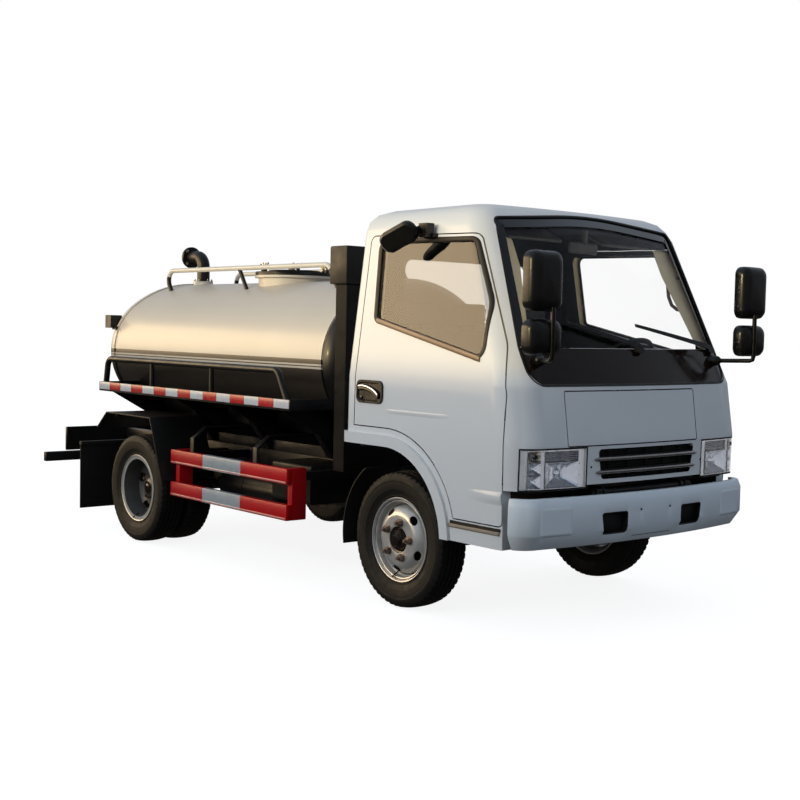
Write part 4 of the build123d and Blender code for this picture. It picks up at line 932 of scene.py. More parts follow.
def make_screen_trim():
    points = rounded([(y, z) for y, z, r in SCREEN], [r for y, z, r in SCREEN], 8, 0.04)
    bm = bmesh.new()
    gasket = [(0.002, -0.001), (0.001, 0.0015), (-0.006, 0.0005), (-0.012, -0.006), (-0.013, -0.0105),
              (-0.001, -0.0105)]
    strip(bm, points, gasket, on_front)
    piece("screen_gasket", bm, SEAL, "cab")
    directions = outward(points)
    bm = bmesh.new()
    outer = []
    inner = []
    for p, d in zip(points, directions):
        if p.y < 1.41:
            continue
        a = p - d * 0.004
        b = p - d * 0.058
        outer.append((front_x(a.x, a.y, 0.0108), a.x, a.y))
        inner.append((front_x(b.x, b.y, 0.0108), b.x, b.y))
    start = max(range(len(outer)), key=lambda i: (Vector(outer[i]) - Vector(outer[i - 1])).length)
    outer = outer[start:] + outer[:start]
    inner = inner[start:] + inner[:start]
    rows(bm, [outer, inner], closed_ring=False)
    piece("screen_border", bm, FRIT, "cab")


# Headlamps: a clear cover over reflectors, ribs and bulbs
LAMP_INNER = 0.4583
LAMP_REAR_X = FRONT_X + 0.8893
LAMP_LOW = 0.7263
LAMP_HIGH = 0.9207
COVER_COLUMNS = 40
COVER_LEVELS = 4


def nose_point(s, z, depth, side):
    """A point at a run outward from the lamp's inner edge, set back from the skin."""
    half, front, bow, corner = cab_at(z)
    flat = half - corner
    straight = math.hypot(flat - LAMP_INNER, bow * (1 - (LAMP_INNER / flat) ** 2))
    if s <= straight:
        y = LAMP_INNER + (flat - LAMP_INNER) * s / straight
        x = front - bow * (y / flat) ** 2
        slope = -2 * bow * y / flat ** 2
        normal = Vector((1.0, -slope)).normalized()
    else:
        angle = (s - straight) / corner
        x = front - bow - corner + corner * math.cos(angle)
        y = flat + corner * math.sin(angle)
        normal = Vector((math.cos(angle), math.sin(angle)))
    return (x - normal.x * depth, side * (y - normal.y * depth), z)


def lamp_run():
    half, front, bow, corner = cab_at(0.82)
    flat = half - corner
    straight = math.hypot(flat - LAMP_INNER, bow * (1 - (LAMP_INNER / flat) ** 2))
    angle = math.acos((LAMP_REAR_X - (front - bow - corner)) / corner)
    return straight + corner * angle


def lamp_sheet(bm, side, s0, s1, z0, z1, depth, columns, levels, index):
    """A grid set back from the skin by a depth that may vary over it."""
    def at(u, v):
        back = depth(u, v) if callable(depth) else depth
        return nose_point(s0 + (s1 - s0) * u, z0 + (z1 - z0) * v, back, side)
    grid(bm, columns, levels, at, index)


def bowl(low, deep, flutes, ripple):
    def depth(u, v):
        a, b = 2 * u - 1, 2 * v - 1
        wave = ripple * abs(math.sin(math.pi * flutes * u))
        return low + deep * (1 - abs(a) ** 2.6) * (1 - abs(b) ** 2.6) - wave * (1 - abs(a))
    return depth


def facets(low, deep, flutes, ripple):
    def depth(u, v):
        a, b = abs(2 * u - 1), abs(2 * v - 1)
        wave = ripple * abs(math.sin(math.pi * flutes * u))
        return low + deep * (1 - max(a, b) ** 1.4) - wave * (1 - a) * (1 - b)
    return depth


def make_headlamps():
    run = lamp_run()
    pale_from = run - 0.036
    bowls = [
        # from, to, low, high, depth form, material
        (0.050, 0.258, 0.738, 0.858, facets(0.006, 0.034, 5, 0.006), 1),
        (0.288, pale_from - 0.004, 0.862, 0.914, bowl(0.006, 0.022, 2, 0.004), 3),
        (0.288, pale_from - 0.004, 0.802, 0.856, facets(0.006, 0.028, 3, 0.005), 1),
        (0.288, pale_from - 0.004, 0.734, 0.796, facets(0.006, 0.028, 3, 0.005), 1),
    ]
    shells = []
    for side, name in SIDES:
        bm = bmesh.new()
        lamp_sheet(bm, side, 0.003, run - 0.003, LAMP_LOW + 0.003, LAMP_HIGH - 0.003, 0.042, 24, 4, 0)
        for s0, s1 in ((0.003, 0.046), (0.262, 0.284)):
            lamp_sheet(bm, side, s0, s1, LAMP_LOW + 0.003, LAMP_HIGH - 0.003, 0.010, 6, 4, 0)
        for z0, z1 in ((LAMP_LOW + 0.003, 0.7335), (LAMP_HIGH - 0.0085, LAMP_HIGH - 0.003)):
            lamp_sheet(bm, side, 0.003, run - 0.003, z0, z1, 0.009, 30, 1, 0)
        for s0, s1, z0, z1, form, index in bowls:
            lamp_sheet(bm, side, s0, s1, z0, z1, form, 40, 24, index)
        lamp_sheet(bm, side, pale_from, run - 0.003, LAMP_LOW + 0.003, LAMP_HIGH - 0.003, 0.0055, 16, 4, 4)
        for k in range(5):
            z0 = 0.864 + 0.0095 * k
            lamp_sheet(bm, side, 0.048, 0.262, z0, z0 + 0.0075,
                       lambda u, v: 0.016 - 0.007 * math.sin(math.pi * v), 30, 6, 1)
        bulbs = [
            # run, height, depth, radius, material
            (0.154, 0.800, 0.026, 0.015, 2), (pale_from - 0.030, 0.888, 0.014, 0.017, 1),
            (0.322, 0.888, 0.010, 0.013, 5), (0.346, 0.829, 0.018, 0.010, 2),
            (0.346, 0.765, 0.018, 0.010, 2),
        ]
        for s_at, z_at, back, radius, index in bulbs:
            centre = Vector(nose_point(s_at, z_at, back, side))
            tip = Vector(nose_point(s_at, z_at, back - 0.01, side))
            globe = [(-0.016, radius * 0.6), (-0.010, radius * 0.75), (0, radius),
                     (radius * 0.7, radius * 0.72), (radius, 0.0)]
            spun(bm, globe, centre, tip - centre, 18, index=index)
        rim = Vector(nose_point(0.322, 0.888, 0.012, side))
        rim_tip = Vector(nose_point(0.322, 0.888, 0.002, side))
        collar = [(-0.01, 0.018), (0.0, 0.0175), (0.002, 0.016), (-0.01, 0.0145)]
        spun(bm, collar, rim, rim_tip - rim, 22, index=3)
        for s0, s1, z0, z1 in ((-0.007, 0.002, LAMP_LOW - 0.004, LAMP_HIGH + 0.007),
                               (run - 0.002, run + 0.006, LAMP_LOW - 0.004, LAMP_HIGH + 0.007),
                               (-0.007, run + 0.006, LAMP_HIGH - 0.001, LAMP_HIGH + 0.007),
                               (-0.007, run + 0.006, LAMP_LOW - 0.004, LAMP_LOW + 0.002)):
            lamp_sheet(bm, side, s0, s1, z0, z1, -0.0006, 40, 4, 5)
        inside = piece("lamp_inside_" + name, bm, [BEZEL, REFLECTOR, LENS, WARM, PALE, SEAL], "cab", 40)
        bm = bmesh.new()
        sheets = []
        for depth in (0.0012, 0.0042):
            def at(u, v):
                z_at = LAMP_LOW + 0.0012 + (LAMP_HIGH - LAMP_LOW - 0.0024) * v
                return nose_point(0.0015 + (run - 0.003) * u, z_at, depth, side)
            sheets.append(grid(bm, COVER_COLUMNS, COVER_LEVELS, at))
        front, back = sheets
        for i in range(COVER_COLUMNS):
            for j in (0, COVER_LEVELS):
                bm.faces.new((front[i][j], front[i + 1][j], back[i + 1][j], back[i][j]))
        for i in (0, COVER_COLUMNS):
            for j in range(COVER_LEVELS):
                bm.faces.new((front[i][j], front[i][j + 1], back[i][j + 1], back[i][j]))
        shells.append(piece("lamp_cover_" + name, bm, LENS, "cab", 50))
        shells.append(inside)
    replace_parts(shells[0], "headlamps")


# Grille bars with drawn-out ends
def make_grille_bars():
    bm = bmesh.new()
    for z, half in ((0.862, 0.408), (0.797, 0.396)):
        rings = []
        for k in range(61):
            share = k / 60
            y = -half + 2 * half * share
            taper = min(1.0, (1 - abs(2 * share - 1)) / 0.06 + 0.12)
            x = front_x(y, z)
            ring = []
            for a in range(14):
                turn = 2 * math.pi * a / 14
                out = math.cos(turn)
                up = math.sin(turn)
                ring.append((x + 0.004 + 0.012 * taper * out, y, z + 0.0105 * taper * up))
            rings.append(ring)
        capped(bm, rings)
    piece("grille_bars", bm, BAR, "cab", 60)
    bm = bmesh.new()
    for k in range(9):
        z = 0.776 + k * 0.0155
        half = 0.345 + (z - 0.762) * 0.18
        rings = []
        for i in range(41):
            y = -half + 2 * half * i / 40
            x = front_x(y, z) - 0.030
            rings.append([(x, y, z - 0.003), (x + 0.012, y, z - 0.0015), (x + 0.012, y, z + 0.0015),
                          (x, y, z + 0.003)])
        rows(bm, rings)
    for y in (-0.28, -0.14, 0.0, 0.14, 0.28):
        x = front_x(y, 0.84)
        block(bm, (x - 0.036, y - 0.003, 0.765), (x - 0.02, y + 0.003, 0.908), 0.001)
    piece("grille_slats", bm, PLASTIC, "cab", 40)


# Red and white tape on the trays' outer edges
TAPE_X = (FRONT_X - 3.243, FRONT_X - 0.877)
TAPE_Y = 0.9425
TAPE_BARS = 15
TAPE_COLUMNS = 6


def make_tape():
    x0, x1 = TAPE_X
    step = (x1 - x0) / TAPE_BARS
    for side, name in SIDES:
        bm = bmesh.new()
        y = side * TAPE_Y
        face_y = y + side * 0.0004
        for k in range(TAPE_BARS):
            a, b = x0 + step * k + 0.001, x0 + step * (k + 1) - 0.001
            rings = []
            for i in range(TAPE_COLUMNS + 1):
                x = a + (b - a) * i / TAPE_COLUMNS
                rings.append([(x, y, 1.0095), (x, face_y, 1.011), (x, face_y, 1.0585), (x, y, 1.060)])
            rows(bm, rings, closed_ring=False, index=k % 2)
        piece("tape_" + name, bm, [TAPE_WHITE, TAPE_RED], "chassis")


# Shallow pressings and strips that lie on a skin
def patch(bm, surface, u0, u1, v0, v1, height, columns, levels):
    """A grid over a skin; its height is a function of the shares across it."""
    def at(a, b):
        return surface(Vector((u0 + (u1 - u0) * a, v0 + (v1 - v0) * b)), height(a, b))
    grid(bm, columns, levels, at)


def smooth(share):
    share = min(max(share, 0.0), 1.0)
    return share * share * (3 - 2 * share)


BUMPER_LEVELS = [
    # height, pull back
    (0.440, 0.044), (0.516, 0.0), (0.650, 0.0), (0.690, 0.014),
]


def on_bumper(p, up):
    """A point on the bumper's front from its place across and its height."""
    pull = BUMPER_LEVELS[-1][1]
    for (z0, a), (z1, b) in zip(BUMPER_LEVELS[:-1], BUMPER_LEVELS[1:]):
        if p.y <= z1:
            pull = a + (b - a) * (p.y - z0) / (z1 - z0)
            break
    half, corner, bow = 0.890 - pull * 0.5, 0.118, 0.060
    flat = half - corner
    front = 2.590 - pull
    if abs(p.x) <= flat:
        return (front - bow * (p.x / flat) ** 2 + up, p.x, p.y)
    reach = min(abs(p.x) - flat, corner * 0.98)
    return (front - bow - corner + math.sqrt(corner ** 2 - reach ** 2) + up, p.x, p.y)


def make_bumper_parts():
    bm = bmesh.new()

    def raised(a, b):
        edge = min(a * 0.200, (1 - a) * 0.200, b * 0.150, (1 - b) * 0.150)
        return -0.0006 + 0.0042 * smooth(edge / 0.016)
    for side in (-1, 1):
        patch(bm, on_bumper, side * 0.787, side * 0.587, 0.503, 0.652, raised, 40, 30)
    piece("bumper_pressings", bm, BUMPER, "chassis", 60)
    bm = bmesh.new()
    pocket = ((0.213, 0.492), (0.3763, 0.492), (0.394, 0.602), (0.213, 0.602))
    pocket_lip = [(0.0, 0.0008), (-0.003, 0.0012), (-0.006, -0.002), (-0.006, -0.030), (0.0, -0.030)]
    for side in (-1, 1):
        y0, y1 = sorted((side * 0.205, side * 0.402))
        patch(bm, on_bumper, y0, y1, 0.484, 0.610, lambda a, b: -0.0315, 10, 6)
        ring = rounded([(side * y, z) for y, z in pocket], [0.014] * 4, 5, 0.02)
        strip(bm, ring, pocket_lip, on_bumper)
    piece("lamp_pockets", bm, PLASTIC, "chassis", 40)
    bm = bmesh.new()
    patch(bm, on_bumper, -0.150, 0.150, 0.4672, 0.4704, lambda a, b: 0.0006, 24, 1)
    plug = [(-0.004, 0.0), (0.0, 0.0052), (0.0026, 0.0046), (0.003, 0.0)]
    for y in (-0.115, 0.115):
        spun(bm, plug, on_bumper(Vector((y, 0.603)), 0.0), (1, 0, 0), 14)
    piece("plate_line", bm, SEAL, "chassis")
    bm = bmesh.new()
    screw = [(-0.003, 0.0), (0.0, 0.006), (0.002, 0.0052), (0.0024, 0.0)]
    for y, z in ((-0.425, 0.826), (0.450, 0.820)):
        spun(bm, screw, on_front(Vector((y, z)), 0.0), (1, 0, 0), 14)
    piece("nose_screws", bm, SEAL, "cab")


def rounded_outline(y, z0, z1, half, corner, inset):
    """A rectangle with round corners, drawn in by an inset."""
    points = []
    radius = max(corner - inset * 0.5, 0.006)
    for turn, cy, cz in ((0, 1, 1), (1, -1, 1), (2, -1, -1), (3, 1, -1)):
        middle_y = y + cy * (half - inset - radius)
        middle_z = (z1 - inset - radius) if cz > 0 else (z0 + inset + radius)
        for k in range(7):
            angle = math.pi / 2 * (turn + k / 6)
            points.append((middle_y + radius * math.cos(angle), middle_z + radius * math.sin(angle)))
    return points


# Door handles, door pressings, step strips and the covers over the concealed hinges
HANDLE_STEPS = (
    # inset, height above the skin
    (0.0, 0.0), (0.0, 0.007), (0.003, 0.010), (0.012, 0.010), (0.016, 0.004), (0.018, 0.0015),
)
HANDLE_ARC = (
    # reach from the front axle, height
    (-0.288, 1.172), (-0.255, 1.175), (-0.215, 1.171), (-0.175, 1.160), (-0.145, 1.146), (-0.124, 1.130),
)
# Each span on a skin runs from and to along it, then from and to in height
WEDGE_SPAN = (FRONT_X + 0.520, FRONT_X + 0.8135, 0.640, 0.716)
CREASE_SPAN = (FRONT_X - 0.100, FRONT_X + 0.480, 1.030, 1.062)
STEP_SPAN = (FRONT_X + 0.452, FRONT_X + 0.812, 0.519, 0.5355)
HINGE_COVER_HALF = 0.030
DOOR_COVER_X = (FRONT_X + 0.755, FRONT_X + 0.8138)
DOOR_COVER_Z = (0.770, 1.080)
LID_COVER_Y = (-0.180, 0.090)
LID_COVER_Z = (1.140, 1.1948)
LEDGE_X = FRONT_X + 0.446
LEDGE_LENGTH = 0.360
LEDGE_STEPS = 12
LEDGE = (
    # height, height above the skin
    (0.500, -0.001), (0.501, 0.005), (0.505, 0.008), (0.515, 0.008), (0.519, 0.006), (0.519, -0.001),
)


def make_door_parts():
    for side, name in SIDES:
        surface = on_side(side)
        body = "door_" + name
        bm = bmesh.new()
        rings = []
        for inset, out in HANDLE_STEPS:
            outline = rounded_outline(FRONT_X - 0.205, 1.082, 1.206, 0.113, 0.034, inset)
            rings.append([surface(Vector(p), out) for p in outline])
        made = rows(bm, rings)
        bm.faces.new(made[-1])
        # The bright strip along the lever's top is a painted highlight; the dark bar below it is the lever
        pipe(bm, [surface(Vector((FRONT_X + x, z)), 0.013) for x, z in HANDLE_ARC], 0.0065, 10, 1)
        pipe(bm, [surface(Vector((FRONT_X + x, z - 0.014)), 0.008) for x, z in HANDLE_ARC], 0.011, 10)
        lock = Vector(surface(Vector((FRONT_X - 0.275, 1.110)), 0.004))
        barrel = [(-0.004, 0.009), (0.003, 0.009), (0.004, 0.007), (0.0035, 0.0)]
        spun(bm, barrel, lock, (0, side, 0), 20)
        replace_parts(piece("handle_" + name, bm, [CASE, LEVER_HIGHLIGHT], body), "door_handle_" + name)
        bm = bmesh.new()

        def wedge(a, b):
            return -0.0006 + 0.0085 * smooth(a) * smooth(b / 0.55) * smooth((1 - b) / 0.3)
        patch(bm, surface, *WEDGE_SPAN, wedge, 30, 16)

        def crease(a, b):
            ends = smooth(a / 0.2) * smooth((1 - a) / 0.3)
            return -0.0006 + 0.0035 * ends * smooth(b / 0.6) * smooth((1 - b) / 0.2)
        patch(bm, surface, *CREASE_SPAN, crease, 40, 10)
        piece("door_pressings_" + name, bm, WHITE, body, 60)
        bm = bmesh.new()
        for z in DOOR_COVER_Z:
            patch(bm, surface, *DOOR_COVER_X, z - HINGE_COVER_HALF, z + HINGE_COVER_HALF,
                  lambda a, b: 0.0004, 6, 6)
        piece("hinge_covers_" + name, bm, WHITE, body)
        bm = bmesh.new()
        patch(bm, surface, *STEP_SPAN, lambda a, b: 0.0008, 12, 1)
        ledge = []
        for k in range(LEDGE_STEPS + 1):
            x = LEDGE_X + LEDGE_LENGTH * k / LEDGE_STEPS
            ledge.append([surface(Vector((x, z)), out) for z, out in LEDGE])
        capped(bm, ledge, 1)
        piece("step_strip_" + name, bm, [SEAL, STEP], "cab")
    bm = bmesh.new()
    for y in LID_COVER_Y:
        patch(bm, on_front, y - HINGE_COVER_HALF, y + HINGE_COVER_HALF, *LID_COVER_Z,
              lambda a, b: 0.0005, 6, 6)
    piece("lid_hinge_covers", bm, WHITE, "front_lid")


# Seats with stitched cushions, visors and a grab handle
# Each seat has a name, a middle, a half width and the places of its headrests from that middle
SEATS = (("driver", 0.400, 0.250, (0.0,)), ("bench", -0.300, 0.400, (-0.2, 0.2)))
# Each pad has a length, a thickness and a crown
SEAT_BASE = (0.550, 0.118, 0.012)
SEAT_BACK = (0.500, 0.100, 0.010)
HEADREST = (0.130, 0.080, 0.006)
HEADREST_WIDTH = 0.250
SEAT_BASE_X = FRONT_X - 0.02
SEAT_BASE_Z = 1.000
SEAT_BACK_X = FRONT_X - 0.262
SEAT_BACK_Z = 1.235
SEAT_LEAN = 0.13
HEADREST_X = FRONT_X - 0.300
HEADREST_Z = 1.572
POST_FOOT = (FRONT_X - 0.292, 1.44)
POST_TOP = (FRONT_X - 0.297, 1.54)
POST_RADIUS = 0.006
POST_Y = (-0.05, 0.05)
SEAM_Y = (-0.11, 0.11)
SEAM_DEPTH = 0.012
SEAM_WIDTH = 0.008
PAD_POWER = 0.34


def cushion(bm, wide, pad, grooves, place_at):
    """A stuffed pad: soft edges, a crowned face and stitched grooves along it."""
    long, thick, crown = pad
    around, across = 40, 48
    rings = []
    for j in range(across + 1):
        t = -1 + 2 * j / across
        end = (1 - abs(t) ** 9) ** 0.22 if abs(t) < 1 else 0.0
        ring = []
        for k in range(around):
            angle = 2 * math.pi * k / around
            c, n = math.cos(angle), math.sin(angle)
            u = math.copysign(abs(c) ** PAD_POWER, c)
            w = math.copysign(abs(n) ** PAD_POWER, n)
            top = 0.0
            if w > 0:
                top = crown * (1 - u * u) * (1 - t * t)
                for at in grooves:
                    top -= SEAM_DEPTH * math.exp(-((t * wide / 2 - at) / SEAM_WIDTH) ** 2) * (1 - u ** 8)
            ring.append(place_at(Vector((u * long / 2 * (0.9 + 0.1 * end), t * wide / 2,
                                         (w * thick / 2) * (0.55 + 0.45 * end) + top))))
        rings.append(ring)
    capped(bm, rings)


def make_seats():
    shown = []
    for name, y, half, headrests in SEATS:
        bm = bmesh.new()
        grooves = [p + q for p in headrests for q in SEAM_Y] + ([0.0] if len(headrests) > 1 else [])

        def base(q, y=y):
            return (SEAT_BASE_X + q.x, y + q.y, SEAT_BASE_Z + q.z)

        def back(q, y=y):
            return (SEAT_BACK_X - q.x * SEAT_LEAN + q.z, y + q.y, SEAT_BACK_Z + q.x + q.z * SEAT_LEAN)
        cushion(bm, half * 2, SEAT_BASE, grooves, base)
        cushion(bm, half * 2, SEAT_BACK, grooves, back)
        for headrest in headrests:
            def rest(q, at=y + headrest):
                return (HEADREST_X - q.x * SEAT_LEAN + q.z, at + q.y, HEADREST_Z + q.x)
            cushion(bm, HEADREST_WIDTH, HEADREST, (), rest)
            for post in POST_Y:
                at = y + headrest + post
                pipe(bm, [(x, at, z) for x, z in (POST_FOOT, POST_TOP)], POST_RADIUS, 10)
        seat = piece("seat_" + name, bm, CLOTH, "cab", 50)
        shown.append(seat)
    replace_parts(shown[0], "seats")


def make_inside():
    bm = bmesh.new()
    for y in (-0.36, 0.36):
        turn = Matrix.Rotation(math.radians(28), 3, "Y")
        block(bm, (FRONT_X + 0.36, y - 0.20, 1.985), (FRONT_X + 0.50, y + 0.20, 2.003), 0.008, 3, turn=turn)
    block(bm, (FRONT_X + 0.485, -0.11, 1.905), (FRONT_X + 0.505, 0.11, 1.965), 0.009, 3)
    block(bm, (FRONT_X + 0.49, -0.012, 1.96), (FRONT_X + 0.52, 0.012, 2.03), 0.004, 2)
    block(bm, (FRONT_X + 0.61, 0.20, 1.235), (FRONT_X + 0.80, 0.60, 1.335), 0.035, 4)
    for y in (-0.52, -0.2, 0.0):
        block(bm, (FRONT_X + 0.612, y - 0.08, 1.150), (FRONT_X + 0.640, y + 0.08, 1.205), 0.008, 3)
    piece("cab_fittings", bm, DASH, "cab", 50)
    bm = bmesh.new()
    for side in (-1, 1):
        loop = [(0.590, 0.700, 1.800), (0.565, 0.675, 1.795), (0.553, 0.655, 1.770), (0.566, 0.650, 1.700),
                (0.586, 0.655, 1.650), (0.610, 0.675, 1.625), (0.640, 0.700, 1.622)]
        pipe(bm, [(FRONT_X + x, side * y, z) for x, y, z in loop], 0.010, 12)
    piece("grab_handles", bm, GRIP, "cab", 60)


# Mirrors with rounded cases
MIRROR_CASE = (
    # place behind the front, inset
    (-0.070, 0.012), (-0.078, 0.008), (-0.077, 0.002), (-0.066, 0.0), (-0.040, 0.0), (-0.024, 0.004),
    (-0.011, 0.014), (-0.003, 0.030), (0.0, 0.048),
)
MIRROR_ARM = (
    # reach from the front axle, half width, height
    (1.043, 0.800, 1.600), (1.043, 0.800, 1.372), (1.039, 0.800, 1.356), (1.023, 0.795, 1.350),
    (0.900, 0.726, 1.347), (0.842, 0.694, 1.345),
)
MIRROR_FOOT = [(-0.010, 0.0), (-0.010, 0.030), (0.030, 0.029), (0.052, 0.024), (0.062, 0.014), (0.062, 0.0)]


def make_mirrors():
    bm = bmesh.new()
    front = FRONT_X + 1.042
    for side in (-1, 1):
        y = side * 0.822
        for z0, z1 in ((1.580, 1.864), (1.374, 1.544)):
            rings = []
            for x, inset in MIRROR_CASE:
                outline = rounded_outline(y, z0, z1, 0.107, 0.046, inset)
                rings.append([(front + x, py, pz) for py, pz in outline])
            made = rows(bm, rings)
            bm.faces.new(made[-1])
            bm.faces.new(made[0]).material_index = 1
        pipe(bm, [(FRONT_X + x, side * y, z) for x, y, z in MIRROR_ARM], 0.012, 14)
        foot = Vector((FRONT_X + 0.836, side * 0.688, 1.345))
        spun(bm, MIRROR_FOOT, foot, (0.060, side * 0.024, 0.002), 24)
    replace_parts(piece("mirror_cases", bm, [CASE, MIRROR], "cab", 45), "mirrors")


# Splash shields in the front arches, an air reservoir under the frame
SHIELD_Y = 0.510
RESERVOIR_FROM = FRONT_X - 2.160
RESERVOIR_LONG = 0.760
RESERVOIR_R = 0.100
RESERVOIR_Y, RESERVOIR_Z = -0.540, 0.425
STRAP_X = (FRONT_X - 1.860, FRONT_X - 1.500)
STRAP_WIDE = 0.030


def make_shields():
    bm = bmesh.new()
    for side in (-1, 1):
        y = side * SHIELD_Y
        block(bm, (FRONT_X + 0.450, y - 0.002, 0.570), (FRONT_X + 0.800, y + 0.002, 0.700), 0.001, 1)
    piece("arch_shields", bm, LINER_AND_SHADE, "cab")
    bm = bmesh.new()
    head = [(0.0, 0.0), (0.012, 0.050), (0.030, 0.080), (0.055, RESERVOIR_R)]
    tail = [(RESERVOIR_LONG - along, radius) for along, radius in reversed(head)]
    spun(bm, head + tail, (RESERVOIR_FROM, RESERVOIR_Y, RESERVOIR_Z), (1, 0, 0), 40)
    band = [(along, RESERVOIR_R + up) for along, up in (
        (0.0, -0.001), (0.0, 0.003), (STRAP_WIDE, 0.003), (STRAP_WIDE, -0.001))]
    for x in STRAP_X:
        block(bm, (x, RESERVOIR_Y - 0.005, 0.519), (x + STRAP_WIDE, -0.374, 0.531), 0.001, 1)
        spun(bm, band, (x, RESERVOIR_Y, RESERVOIR_Z), (1, 0, 0), 40)
    piece("air_reservoir", bm, BLACK, "chassis")


# Manhole wing nuts, flange bolts
def make_tank_parts():
    bm = bmesh.new()
    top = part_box("manhole_lid")[1].z
    for i in range(6):
        angle = 2 * math.pi * (i + 0.5) / 6
        at = Vector((FRONT_X - 2.180 + 0.246 * math.cos(angle), 0.246 * math.sin(angle), top - 0.018))
        boss = [(0, 0), (0, 0.017), (0.012, 0.014), (0.020, 0.010), (0.034, 0.008), (0.036, 0.0)]
        spun(bm, boss, at, (0, 0, 1), 18)
        across = Vector((-math.sin(angle), math.cos(angle), 0.0))
        for sign in (-1, 1):
            ear = ((0.010, 0.010), (0.026, 0.024), (0.034, 0.036))
            pipe(bm, [at + across * sign * out + Vector((0, 0, up)) for out, up in ear], 0.0065, 8)
    piece("wing_nuts", bm, ZINC, "manhole_lid")
    bm = bmesh.new()
    for i in range(4):
        angle = math.pi / 4 + i * math.pi / 2
        for x, z in ((FRONT_X - 3.590, 2.003), (FRONT_X - 3.925, 1.084)):
            at = Vector((x + 0.020, 0.066 * math.cos(angle), z + 0.066 * math.sin(angle)))
            nut(bm, at, (1, 0, 0), 0.020, 0.012, 1.25, 0.006)
    for i in range(6):
        angle = i * math.pi / 3
        at = Vector((FRONT_X - 3.400 + 0.063 * math.cos(angle), 0.063 * math.sin(angle), 1.815))
        nut(bm, at, (0, 0, 1), 0.016, 0.010, 1.25, 0.008)
    piece("flange_bolts", bm, ZINC, "chassis")


# Raised ribs on the guards' bands, coloured paler than the bands as a painted highlight along their edges
def make_guard_ribs():
    bm = bmesh.new()
    for side in (-1, 1):
        for z in (0.373, 0.584):
            # Ribs over the pale middle third are white, the others pale red, both as painted highlight
            for a, b, index in ((-2.176, -1.786, 0), (-1.786, -1.350, 1), (-1.350, -0.866, 0)):
                block(bm, (FRONT_X + a, side * 0.9625 - 0.004, z - 0.006),
                      (FRONT_X + b, side * 0.9625 + 0.004, z + 0.006), 0.003, 2, index)
    piece("guard_ribs", bm, [RIB_HIGHLIGHT, TAPE_WHITE], "chassis")


make_seals()
make_bumper_parts()
make_door_parts()
make_seats()
make_inside()
make_mirrors()
make_shields()
make_tank_parts()
make_guard_ribs()
make_screen_trim()
make_headlamps()
make_grille_bars()
make_tape()


# Camera at the photograph's viewing angle
YAW, PITCH, ROLL = 139.64, -3.23, 1.23
CAMERA_AT = (6.648, -5.121, 1.488)
PICTURE = 800.0
FOCAL = 1264.0
SHIFT = (-8.6, -0.3)


def make_camera():
    yaw, pitch, roll = math.radians(YAW), math.radians(PITCH), math.radians(ROLL)
    ahead = Vector((math.cos(yaw) * math.cos(pitch), math.sin(yaw) * math.cos(pitch), math.sin(pitch)))
    right = Vector((math.sin(yaw), -math.cos(yaw), 0.0))
    up = right.cross(ahead)
    right_rolled = right * math.cos(roll) + up * math.sin(roll)
    up_rolled = up * math.cos(roll) - right * math.sin(roll)
    rotation = Matrix((right_rolled, up_rolled, -ahead)).transposed().to_4x4()
    data = bpy.data.cameras.new("camera")
    data.sensor_width = 36.0
    data.lens = FOCAL * data.sensor_width / PICTURE
    data.shift_x = SHIFT[0] / PICTURE
    data.shift_y = SHIFT[1] / PICTURE
    camera = linked("camera", data)
    camera.matrix_world = Matrix.Translation(CAMERA_AT) @ rotation
    bpy.context.scene.camera = camera


def stage_plane(name, corners, material):
    mesh = bpy.data.meshes.new(name)
    mesh.from_pydata(corners, [], [(0, 1, 2, 3)])
    mesh.materials.append(material)
    plane = linked(name, mesh)
    return plane


def make_floor():
    material, tree, bsdf = new_material("floor_paper")
    bsdf.inputs["Base Color"].default_value = (0.35, 0.35, 0.35, 1.0)
    bsdf.inputs["Roughness"].default_value = 0.9
    bsdf.inputs["Emission Color"].default_value = (1.0, 1.0, 1.0, 1.0)
    bsdf.inputs["Emission Strength"].default_value = 0.88
    reach = 60.0
    corners = [(-reach, -reach, 0), (reach, -reach, 0), (reach, reach, 0), (-reach, reach, 0)]
    floor = stage_plane("floor", corners, material)
    floor.visible_glossy = False
    floor.visible_diffuse = False


SUN_FROM = Vector((-0.06, -0.97, 0.19)).normalized()


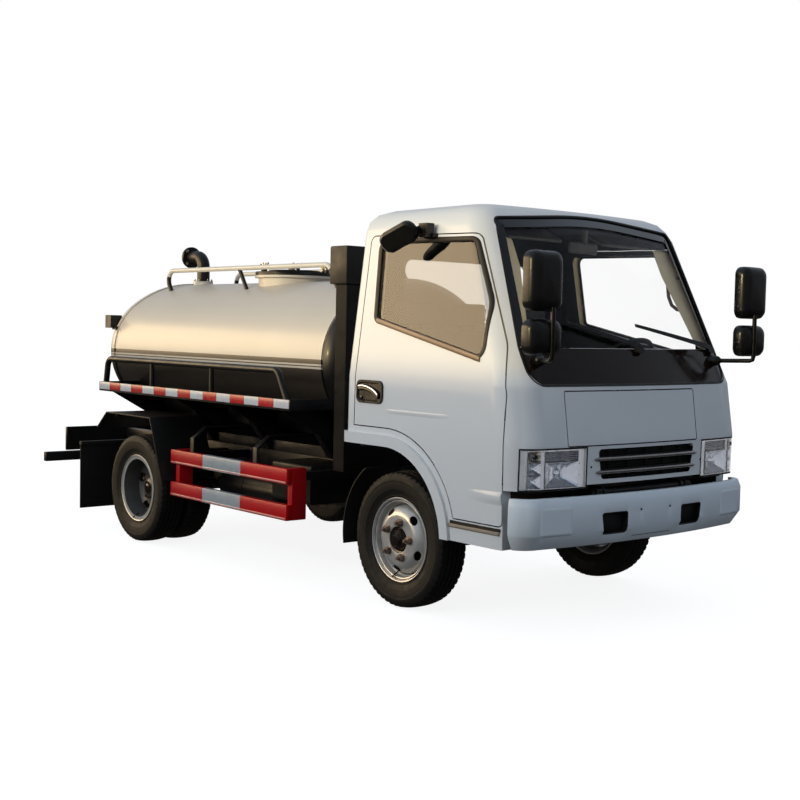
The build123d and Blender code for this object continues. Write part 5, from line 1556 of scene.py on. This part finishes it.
def make_light():
    scene = bpy.context.scene
    scene.view_settings.view_transform = "Standard"
    world = bpy.data.worlds.new("studio")
    scene.world = world
    world.use_nodes = True
    tree = world.node_tree
    background = tree.nodes["Background"]
    output = tree.nodes["World Output"]
    coords = node(tree, "ShaderNodeTexCoord")
    split = node(tree, "ShaderNodeSeparateXYZ")
    tree.links.new(coords.outputs["Generated"], split.inputs["Vector"])
    ramp = node(tree, "ShaderNodeValToRGB")
    tree.links.new(ranged(tree, split.outputs[2], -1.0, 1.0), ramp.inputs["Fac"])
    stops = ramp.color_ramp.elements
    stops[0].position = 0.0
    stops[0].color = (0.06, 0.055, 0.05, 1)
    stops[1].position = 1.0
    stops[1].color = (0.40, 0.49, 0.62, 1)
    for at, color in ((0.48, (0.08, 0.07, 0.065, 1)), (0.505, (0.34, 0.32, 0.31, 1)),
                      (0.58, (0.52, 0.54, 0.58, 1))):
        stop = stops.new(at)
        stop.color = color
    tree.links.new(ramp.outputs["Color"], background.inputs["Color"])
    tree.links.new(ranged(tree, split.outputs[0], -0.1, 0.6, 0.95, 0.36), background.inputs["Strength"])
    plain = node(tree, "ShaderNodeBackground")
    plain.inputs["Color"].default_value = (1, 1, 1, 1)
    plain.inputs["Strength"].default_value = 1.0
    path = node(tree, "ShaderNodeLightPath")
    turns = math_node(tree, "ADD", path.outputs["Diffuse Depth"], path.outputs["Glossy Depth"])
    straight = math_node(tree, "SUBTRACT", 1.0, math_node(tree, "MINIMUM", turns, 1.0))
    through = math_node(tree, "MULTIPLY", path.outputs["Is Transmission Ray"], straight)
    seen = math_node(tree, "MAXIMUM", path.outputs["Is Camera Ray"], through)
    mix = node(tree, "ShaderNodeMixShader")
    tree.links.new(seen, mix.inputs["Fac"])
    tree.links.new(background.outputs["Background"], mix.inputs[1])
    tree.links.new(plain.outputs["Background"], mix.inputs[2])
    tree.links.new(mix.outputs["Shader"], output.inputs["Surface"])

    sun = bpy.data.lights.new("low_sun", "SUN")
    sun.energy = 1.27
    sun.angle = math.radians(1.8)
    sun.color = (1.0, 0.79, 0.40)
    lamp = linked("low_sun", sun)
    lamp.rotation_euler = (-SUN_FROM).to_track_quat("-Z", "Y").to_euler()

    # A wall off to the side that keeps the sun from the lower half
    across = Vector((-SUN_FROM.y, SUN_FROM.x, 0.0)).normalized()
    edge = Vector((FRONT_X, -0.885, 1.285)) + SUN_FROM * 5.0
    grey, _, grey_bsdf = new_material("wall_grey")
    grey_bsdf.inputs["Base Color"].default_value = (0.2, 0.2, 0.2, 1.0)
    low, high = -0.5, edge.z
    corners = ((-14, low), (14, low), (14, high), (-14, high))
    wall = stage_plane("sun_wall", [tuple((edge + across * a).xy) + (z,) for a, z in corners], grey)
    for flag in ("camera", "glossy", "diffuse", "transmission", "volume_scatter"):
        setattr(wall, "visible_" + flag, False)

    # The bright evening side, seen only in reflections
    glow, _, glow_bsdf = new_material("evening_card")
    glow_bsdf.inputs["Base Color"].default_value = (0.0, 0.0, 0.0, 1.0)
    glow_bsdf.inputs["Emission Color"].default_value = (1.0, 0.74, 0.44, 1.0)
    glow_bsdf.inputs["Emission Strength"].default_value = 6.0
    corners = [(-16, -3.0, 1.25), (-2, -11.0, 1.25), (-2, -11.0, 7.0), (-16, -3.0, 7.0)]
    card = stage_plane("evening_card", corners, glow)
    for flag in ("camera", "diffuse", "transmission", "volume_scatter", "shadow"):
        setattr(card, "visible_" + flag, False)

    def area(name, place_at, target, size, power, color):
        data = bpy.data.lights.new(name, "AREA")
        data.shape = "RECTANGLE"
        data.size, data.size_y = size
        data.energy = power
        data.color = color
        soft = linked(name, data)
        soft.location = place_at
        soft.rotation_euler = (Vector(target) - Vector(place_at)).to_track_quat("-Z", "Y").to_euler()
        soft.visible_glossy = False

    area("front_fill", (8.5, 1.0, 3.0), (2.4, 0.0, 1.0), (5.0, 3.0), 66.0, (0.64, 0.81, 1.0))
    area("side_fill", (1.0, -7.5, 2.6), (0.6, -0.8, 0.9), (7.0, 3.0), 300.0, (0.95, 1.0, 0.99))


make_camera()
make_floor()
make_light()
